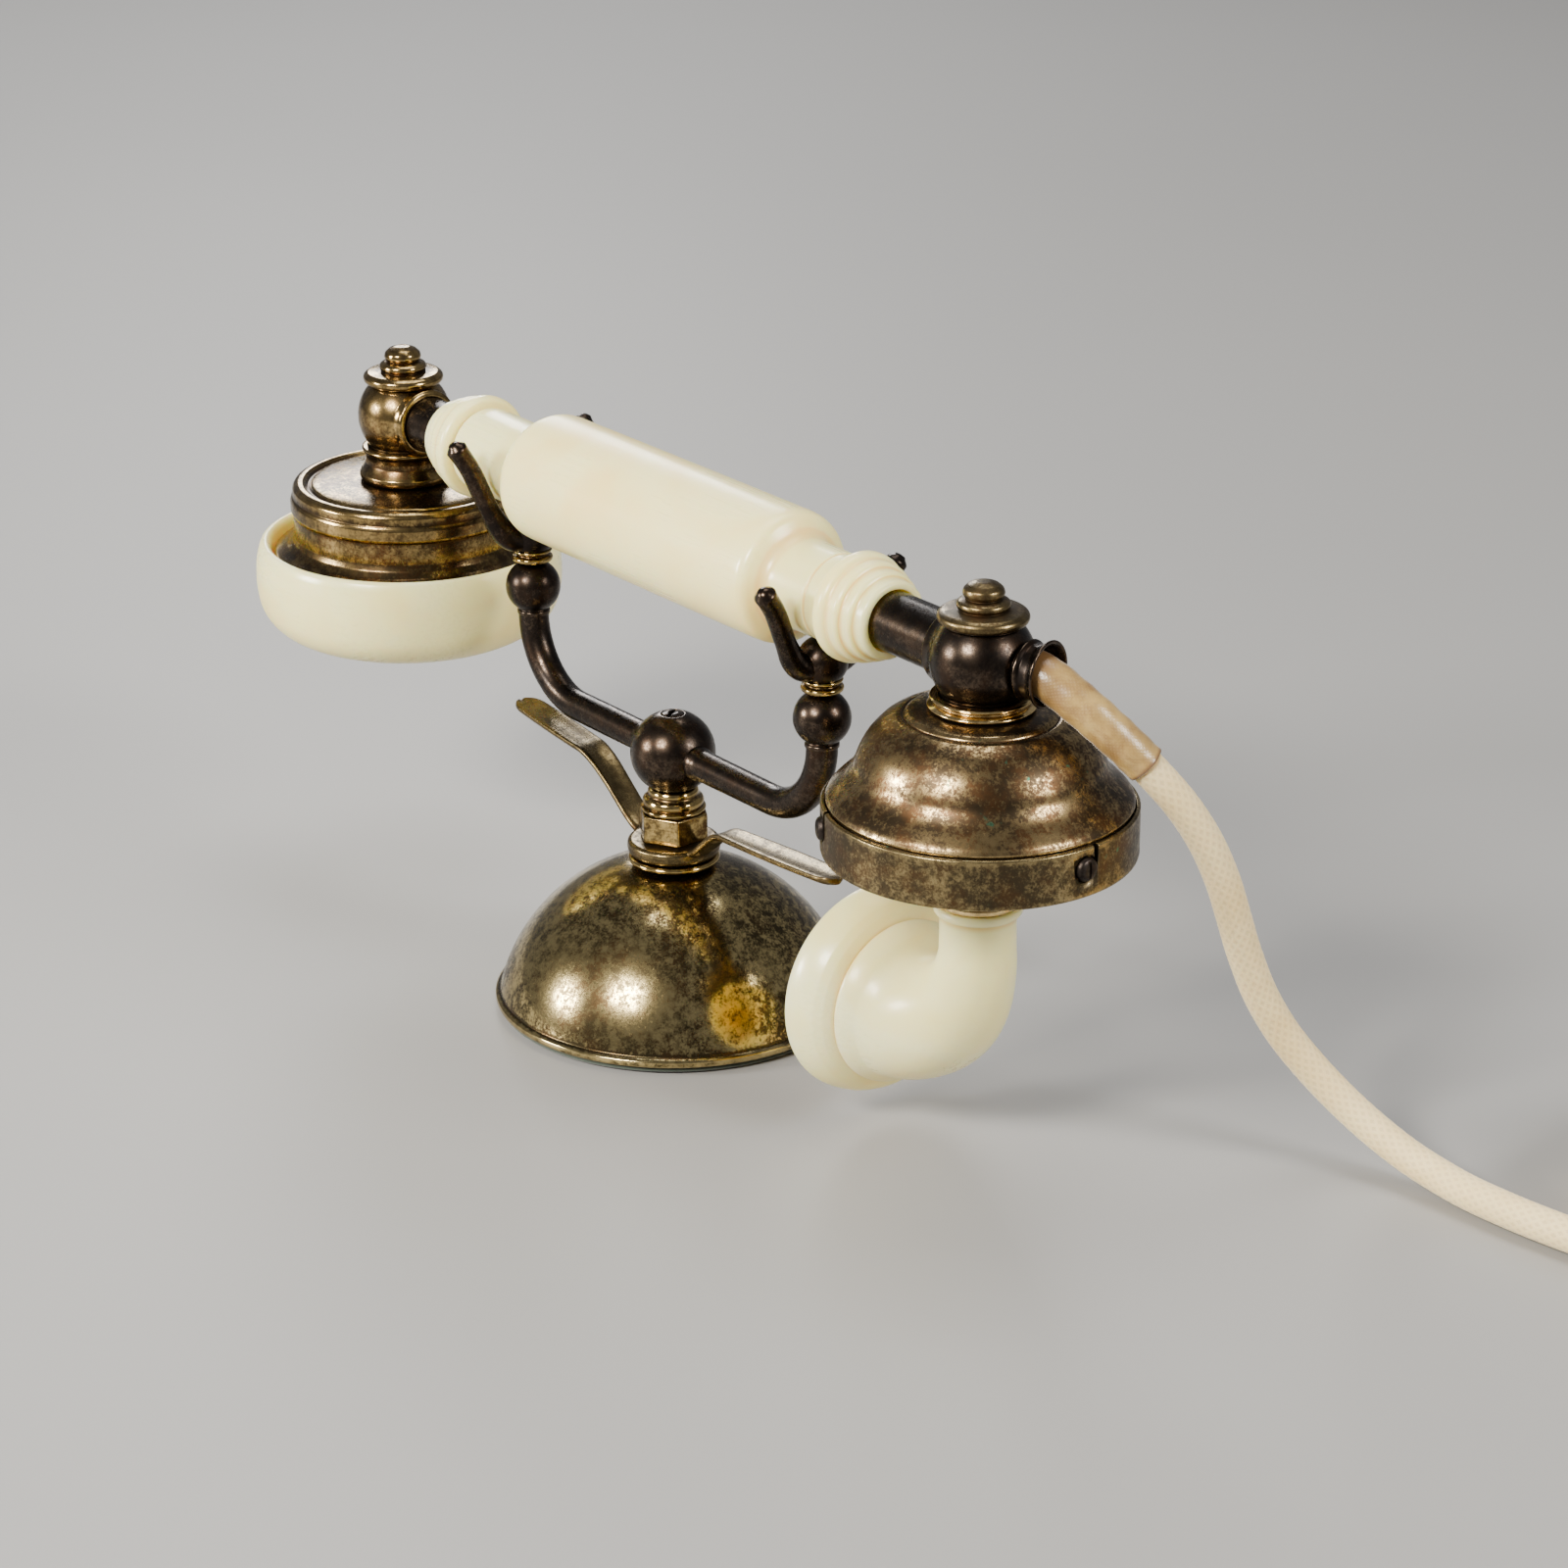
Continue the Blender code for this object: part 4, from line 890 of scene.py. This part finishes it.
def add_fork(side, label):
    x = FORK_X * side
    lift = 3.0 if side < 0 else 0.0
    half = [(0, 92.4), (4.6, 92.3), (7.6, 94.6), (9.8, 98.4), (11.8, 102.6 + 0.3 * lift),
            (14.0, 107.0 + 0.7 * lift), (17.3, 111.8 + lift)]
    points = []
    for y, z in [(-y, z) for y, z in reversed(half[1:])] + half:
        lean = 3.0 * max(z - FORK_BALL_Z, 0) / 19.0
        points.append((x + lean * side, y, z))
    line = even_line(smooth_line(points, 10), 0.45)

    def prong(share, turn):
        from_tip = min(share, 1 - share)
        root = 0.75 * ramp_up(from_tip, 0.25, 0.42)
        tip = 0.12 * (1 - ramp_up(from_tip, 0.01, 0.06))
        tip -= 0.9 * (1 - ramp_up(from_tip, 0.0, 0.014))
        return 2.2 + root + tip

    def rubbed(share):
        return 0.9 * (1 - ramp_up(min(share, 1 - share), 0.0, 0.06))

    prongs = round_tube(f"prongs_{label}", line, prong, BRONZE, 40, rubbed, 0.5)
    ball = arc(0, FORK_BALL_Z, 5.3, 90.0, -40.0, 36)
    foot = [(3.6, 89.55), (0, 89.5)]
    ball[0] = (0, ball[0][1])
    fork = turned(f"fork_{label}_fine", ball + foot, BRONZE, (x, 0, 0), soft=0.2, sides=96)
    stands_for(carved(fork, prongs, operation="UNION"), f"fork_{label}")


# ---------- handset


def add_grip():
    neck, bore = 9.25, 6.45
    right, left = 60.7, -67.8
    outline = [
        (8.6, right), (neck, right - 0.5), (neck, 56.5), (neck - 0.25, 56.2), (neck - 0.25, 55.8),
        (neck, 55.5), (neck, 46.2), (9.5, 44.4), (10.3, 43.2), (11.6, 42.5), (12.7, 42.0),
        (13.5, 41.2), (13.95, 40.0), (14.05, 38.0), (14.1, 10.0), (14.1, -12.0), (14.05, -39.8),
        (13.95, -41.8), (13.4, -43.1), (12.6, -43.8), (11.6, -44.2), (10.3, -44.7), (9.5, -46.0),
        (neck, -47.6), (neck, left + 0.5), (8.6, left), (bore, left), (bore, right),
    ]
    fine("grip", outline, GRIP_IVORY, (0, 0, AXIS_Z), ALONG_X, 0.8, 160)
    steps = [
        (7.6, 12.2), (8.1, 11.7), (8.2, 10.0), (8.4, 9.6), (9.0, 9.3), (9.3, 8.8), (9.3, 7.1),
        (9.5, 6.7), (10.1, 6.4), (10.4, 5.8), (10.4, 3.9), (10.6, 3.5), (11.1, 3.0), (11.4, 2.3),
        (11.4, 0.9), (11.0, 0.2), (10.4, 0.0), (bore, 0.0), (bore, 12.3), (7.2, 12.3),
    ]
    fine("end_collar_right", steps, GRIP_IVORY, (right + 0.3, 0, AXIS_Z), ALONG_X, 0.35, 128)
    fine("end_collar_left", steps, GRIP_IVORY, (left - 0.3, 0, AXIS_Z), ALONG_MINUS_X, 0.35, 128)
    radius, hollow, end = 6.15, 4.65, 93.2
    tube = [(radius, end), (radius, 40.0), (radius, -40.0), (radius, -end), (hollow, -end),
            (hollow, end)]
    fine("core_tube", tube, BRONZE, (0, 0, AXIS_Z), ALONG_X, 0.2, 96)


def head_outline(foot_z):
    """A ball with a flat top for the finial, a straight neck down to foot_z and a wire bore."""
    ball = arc(0, 0, 10.4, 44.0, -38.0, 44)
    neck = [(8.2, -7.0), (8.2, foot_z), (3.6, foot_z), (3.6, 3.0), (2.3, 3.0)]
    return [(2.3, 7.2), (7.0, 7.3)] + ball + neck


FINIAL = [
    (0, 15.9), (1.6, 15.8), (3.0, 15.3), (3.9, 14.5), (4.15, 13.6), (3.9, 12.9), (3.5, 12.6),
    (4.2, 12.4), (5.1, 11.9), (5.3, 11.2), (5.1, 10.7), (4.9, 10.4), (7.9, 10.1), (8.7, 9.6),
    (9.0, 9.0), (8.9, 8.3), (8.4, 7.7), (7.6, 7.4), (2.0, 7.4), (2.0, 3.6), (0, 3.6),
]


def add_heads():
    centre = (SENDER_X, 0, AXIS_Z)
    other = (RECEIVER_X, 0, AXIS_Z)
    boss = [(7.6, 6.0), (7.6, 9.2), (7.3, 9.6), (6.6, 9.8), (6.2, 9.8), (6.2, 6.0)]
    heads = (("transmitter_head", centre, -9.6, BRONZE, ALONG_MINUS_X),
             ("receiver_head", other, -14.6, CUP_BRASS, ALONG_X))
    for node, place, foot, metal, turn in heads:
        head = turned(f"{node}_fine", head_outline(foot), metal, place, soft=0.25, sides=144)
        collar = turned(f"{node}_boss", boss, metal, place, turn, 0.4, 96)
        stands_for(carved(head, collar, operation="UNION"), node)
    fine("transmitter_finial", FINIAL, WING_BRASS, centre, soft=0.3)
    fine("receiver_finial", FINIAL, CUP_BRASS, other, soft=0.3)
    socket = [(6.6, 15.0), (6.75, 14.7), (6.4, 14.2), (5.9, 13.7), (5.6, 12.9), (5.5, 11.4),
              (5.9, 11.0), (6.15, 10.6), (5.9, 10.1), (5.2, 9.8), (4.7, 9.6), (4.7, 7.9),
              (3.4, 7.9), (3.4, 9.5), (4.8, 10.2), (4.8, 12.6), (5.5, 14.3), (6.1, 15.0)]
    turn = Matrix.Rotation(SOCKET_ANGLE, 4, "Z") @ ALONG_X
    fine("cord_socket", socket, BRONZE, centre, turn, 0.2, 96)
    ring = [(9.2, -6.9), (10.0, -7.0), (10.3, -7.3), (10.0, -7.7), (9.4, -8.0), (9.4, -8.3),
            (10.1, -8.6), (10.7, -9.0), (10.6, -9.4), (10.0, -9.6), (8.5, -9.6), (8.5, -6.9)]
    fine("transmitter_neck_ring", ring, BRASS, centre, soft=0.2)
    ring = [(8.9, -6.9), (9.6, -7.0), (9.85, -7.4), (9.7, -7.9), (9.1, -8.5), (8.9, -9.6),
            (9.0, -10.8), (9.7, -12.0), (10.4, -12.9), (10.5, -13.7), (10.3, -14.3), (10.0, -14.6),
            (8.5, -14.6), (8.5, -6.9)]
    fine("receiver_neck_ring", ring, CUP_BRASS, other, soft=0.25)


def add_transmitter():
    place = Vector((SENDER_X, 0, 0))
    outside = [(3.9, 97.6), (8.0, 97.7), (11.2, 97.6), (13.2, 97.35), (14.3, 97.0), (14.9, 96.5),
               (15.1, 96.1), (15.7, 96.3), (16.6, 96.1)]
    outside += smooth_outline([(18.0, 95.4), (19.9, 94.0), (22.3, 91.2), (23.9, 88.2), (24.8, 85.8),
                               (26.2, 83.7), (28.2, 81.7), (29.6, 80.2), (30.15, 79.2)], 6)
    outside += [(30.1, 78.7), (29.8, 78.5), (29.9, 78.2), (29.9, 70.6)]
    inside = [(29.0, 70.6), (29.0, 79.3), (27.3, 81.1), (25.3, 83.1), (23.9, 85.4), (23.0, 87.9),
              (21.4, 90.7), (19.0, 93.1), (15.2, 95.2), (3.9, 96.3)]
    fine("transmitter_bell", outside + inside, BELL_BRASS, place, soft=0.18, sides=240)
    rim = 31.1
    band = [(rim - 0.3, 78.5), (rim, 78.2), (rim, 69.4), (rim + 0.05, 68.9), (rim - 0.1, 68.4),
            (rim - 0.4, 68.2), (rim - 0.8, 68.2), (rim - 0.8, 78.5)]
    band = turned("transmitter_band_fine", band, BAND_BRASS, place, soft=0.12, sides=240)
    outline = [(0, 32.3), (1.4, 32.2), (2.1, 31.9), (2.45, 31.3), (2.45, 30.3), (1.2, 30.3),
               (1.2, 28.0), (0, 28.0)]
    spot = Vector((SENDER_X, 0, KEYHOLE_Z))
    cutters = []
    for i in range(3):
        angle = math.radians(120 * i)
        out = Vector((math.cos(angle), math.sin(angle), 0))
        cutters.append(pipe_tool(f"keyhole_{i}", 2.75, spot + out * 29.6, spot + out * 34))
        swing = Matrix.Rotation(angle, 4, "Z")
        turn = Matrix.Translation(place) @ swing
        low, high = (29.6, -0.55, KEYHOLE_Z + 0.6), (33, 0.55, 80)
        aside = Matrix.Rotation(math.radians(4.6), 4, "Z")
        cutters.append(box_tool(f"keyhole_slot_{i}", low, high, turn @ aside))
        screw = turned(f"band_screw_{i + 1}_fine", outline, SCREW_BLACK, spot, swing @ ALONG_X,
                       0.25, 48)
        low, high = (32.0, -0.3, KEYHOLE_Z - 4), (34, 0.3, KEYHOLE_Z + 4)
        slit = box_tool(f"screw_slot_{i}", low, high, turn)
        stands_for(carved(screw, slit), f"band_screw_{i + 1}")
    stands_for(carved(band, *cutters), "transmitter_band")
    plate = [(28.4, 71.7), (28.7, 71.4), (28.7, 70.0), (26.0, 69.6), (25.4, 69.9), (24.8, 69.5),
             (16.0, 68.3), (12.4, 67.3), (10.6, 65.8), (9.6, 63.6), (9.2, 61.6), (9.3, 60.9),
             (8.9, 60.6), (6.6, 60.7), (6.6, 66.2), (13.0, 70.0), (24.0, 71.7)]
    fine("transmitter_plate", plate, BELL_BRASS, place, soft=0.35, sides=160)


def add_receiver():
    place = (RECEIVER_X, 0, 0)
    cup = [(3.9, 92.6), (12.0, 92.7), (19.5, 92.4), (21.4, 92.0), (21.8, 91.5), (22.2, 91.3),
           (22.7, 91.7), (23.4, 92.3), (24.4, 92.3), (25.3, 91.9), (25.8, 91.1), (25.8, 89.4),
           (26.1, 89.0), (26.35, 88.3), (26.35, 86.3), (26.1, 85.6), (25.8, 85.2), (25.75, 80.3),
           (26.2, 79.0), (27.4, 77.7), (28.8, 77.0), (30.1, 76.6), (30.5, 76.0), (30.4, 75.3),
           (29.5, 74.4), (29.5, 68.2), (28.3, 68.2), (28.3, 75.2), (24.7, 79.2), (24.7, 90.9),
           (3.9, 91.1)]
    fine("receiver_cup", cup, CUP_BRASS, place, soft=0.3, sides=220)
    cap = [(0, 62.0), (12.0, 62.0), (22.0, 61.2), (28.0, 64.0), (28.0, 67.4), (29.9, 67.7),
           (29.9, 73.4), (30.8, 74.0), (31.2, 77.6), (31.6, 78.5), (32.4, 78.9), (33.2, 78.5)]
    cap += smooth_outline([(33.8, 77.2), (34.45, 74.4), (34.65, 71.2), (34.55, 68.3), (33.9, 64.6),
                           (32.5, 61.8), (30.4, 59.6), (27.8, 58.1), (25.2, 57.3), (22.8, 57.0)], 5)
    cap += [(20.6, 57.1), (15.0, 58.0), (9.0, 59.3), (4.0, 59.7), (0, 59.8)]
    cap = turned("ear_cap_fine", cap, CAP_IVORY, place, soft=0.45, sides=200)
    holes = [(0.0, 0.0)] + arc(0, 0, 7.0, 0, 300, 5)
    tools = [
        pipe_tool(f"ear_hole_{i}", 1.5, (RECEIVER_X + x, y, 50), (RECEIVER_X + x, y, 66), 32)
        for i, (x, y) in enumerate(holes)
    ]
    stands_for(carved(cap, *tools), "ear_cap")


# ---------- mouthpiece


def horn_line():
    """Centre, turn and radius of each ring of the elbow, from its lip to the seam."""
    bend = 19.6
    bend_x, bend_z = SENDER_X - bend, HORN_Z + bend
    straight = [(56.7, 8.2), (56.5, 8.65), (56.1, 8.85), (55.5, 8.85), (55.1, 8.6), (54.8, 8.1),
                (54.3, 7.75), (53.0, 7.6), (50.5, 7.6), (bend_z, 7.7)]
    rings = [(SENDER_X, z, 0.0, radius) for z, radius in straight]
    sizes = [(0.0, 7.7), (0.2, 8.4), (0.4, 9.7), (0.6, 11.35), (0.8, 13.15), (0.95, 14.8),
             (1.0, 15.4)]
    for share, radius in smooth_outline(sizes, 6)[1:]:
        a = share * math.pi / 2
        rings.append((bend_x + bend * math.cos(a), bend_z - bend * math.sin(a), a, radius))
    for x, radius in ((79.4, 16.1), (78.4, 16.7), (77.4, 17.2), (76.9, 17.35), (76.6, 17.3),
                      (76.3, 17.1)):
        rings.append((x, HORN_Z, math.pi / 2, radius))
    return rings


def add_mouthpiece():
    ferrule = [(7.9, 60.4), (8.4, 60.2), (8.7, 59.8), (8.6, 59.1), (8.3, 58.7), (8.6, 58.3),
               (8.7, 57.7), (8.5, 57.2), (8.0, 57.0), (6.6, 57.0), (6.6, 60.4)]
    fine("mouthpiece_ferrule", ferrule, BRASS, (SENDER_X, 0, 0), soft=0.2, sides=96)
    rings = horn_line()
    sides = 96
    wall = 1.8
    outside = []
    inside = []
    for x, z, a, radius in rings:
        for rows, size in ((outside, radius), (inside, radius - wall)):
            row = []
            for q in circle(sides):
                out, across = size * math.cos(q), size * math.sin(q)
                row.append(Vector((x + out * math.cos(a), across, z - out * math.sin(a))) * MM)
            rows.append(row)
    wear = [0.0] * len(rings)
    wear[2:4] = [0.3, 0.3]  # the lip
    wear[5:7] = [-0.7, -0.7]  # the groove under it
    wear[-3:] = [-0.4, -0.7, -1.0]  # down into the seam
    made = bmesh.new()
    lofted(made, outside + inside[::-1], True, wear + [-0.4] * len(rings))
    stands_for(finished("mouthpiece_elbow_fine", made, HORN_IVORY), "mouthpiece_elbow")
    flare = [(21.5, 9.9), (22.0, 9.4), (22.1, 8.6), (22.0, 7.2), (21.4, 4.8), (20.3, 2.6),
             (19.0, 1.1), (17.8, 0.3), (17.1, 0.0), (15.6, 0.0)]
    flare += smooth_outline([(15.9, 0.6), (16.8, 1.9), (18.4, 4.2), (19.7, 6.9), (20.4, 9.0)], 4)
    flare += [(20.9, 9.8)]
    fine("mouthpiece_flare", flare, HORN_IVORY, (SEAM_X, 0, HORN_Z), ALONG_MINUS_X, 0.3, 160)


# ---------- hidden pieces

HIDDEN_FINISH = {
    "steel": STEEL,
    "cast_iron": IRON,
    "insulating_fibre": FIBRE,
    "nickel_silver": SILVER,
    "bright_brass": BRASS,
}


def finish_cad_nodes():
    """The CAD nodes inside the stand and the two capsules keep their shapes. Only their looks
    are set."""
    for node in ("base_plate", "base_screw_1", "base_screw_2", "base_screw_3", "ballast_ring",
                 "switch_bracket", "contact_block", "contact_blade", "fixed_contact",
                 "return_spring", "guide_stem", "plunger_rod", "carbon_capsule",
                 "receiver_diaphragm", "receiver_magnet", "receiver_coil"):
        for place in frame["nodes"][node].material_slots:
            place.material = HIDDEN_FINISH[SLOT_OF[node]]


# ---------- stage and light


def add_stage():
    made = bmesh.new()
    bmesh.ops.create_grid(made, x_segments=1, y_segments=1, size=30.0)
    plain = Finish("pale_floor", Roughness=0.55)
    tone = plain.noise(400.0, 2.0)
    plain.shade("Base Color", plain.mix(tone, (0.28, 0.278, 0.275), (0.305, 0.302, 0.30)))
    floor = finished("floor", made, plain.material)
    floor.location.z = -0.0004


def add_light(name, place, aim, size, power, colour):
    """A rectangular softbox. Its place, aim and size are in metres, and its power in watts."""
    data = bpy.data.lights.new(name, "AREA")
    data.shape = "RECTANGLE"
    data.size, data.size_y = size
    data.energy = power
    data.color = colour
    light = bpy.data.objects.new(name, data)
    bpy.context.scene.collection.objects.link(light)
    light.location = place
    light.rotation_euler = (Vector(aim) - Vector(place)).to_track_quat("-Z", "Y").to_euler()


def add_lights():
    world = bpy.data.worlds.new("studio")
    world.use_nodes = True
    sky = world.node_tree.nodes["Background"].inputs
    sky["Color"].default_value = (0.54, 0.54, 0.56, 1.0)
    sky["Strength"].default_value = 0.42
    bpy.context.scene.world = world
    handset = (0.02, 0.0, 0.06)
    add_light("key", (0.30, -1.25, 1.00), handset, (0.45, 0.35), 42, (1.0, 0.95, 0.86))
    add_light("left", (-0.62, -1.12, 0.42), (0.0, 0.0, 0.05), (0.30, 0.24), 22, (1.0, 0.96, 0.88))
    add_light("fill", (1.25, 0.45, 0.80), handset, (0.4, 0.4), 19, (1.0, 0.97, 0.92))
    add_light("top", (-0.2, 0.25, 1.35), (0.0, 0.0, 0.06), (0.7, 0.7), 8, (1.0, 0.99, 0.96))
    add_light("back", (-1.1, 0.6, 0.6), (0.0, 0.0, 0.08), (0.4, 0.3), 6, (1.0, 1.0, 1.0))


add_camera()
add_cords()
add_foot()
add_stem()
add_wings()
add_cradle()
add_grip()
add_heads()
add_transmitter()
add_receiver()
add_mouthpiece()
finish_cad_nodes()
add_stage()
add_lights()
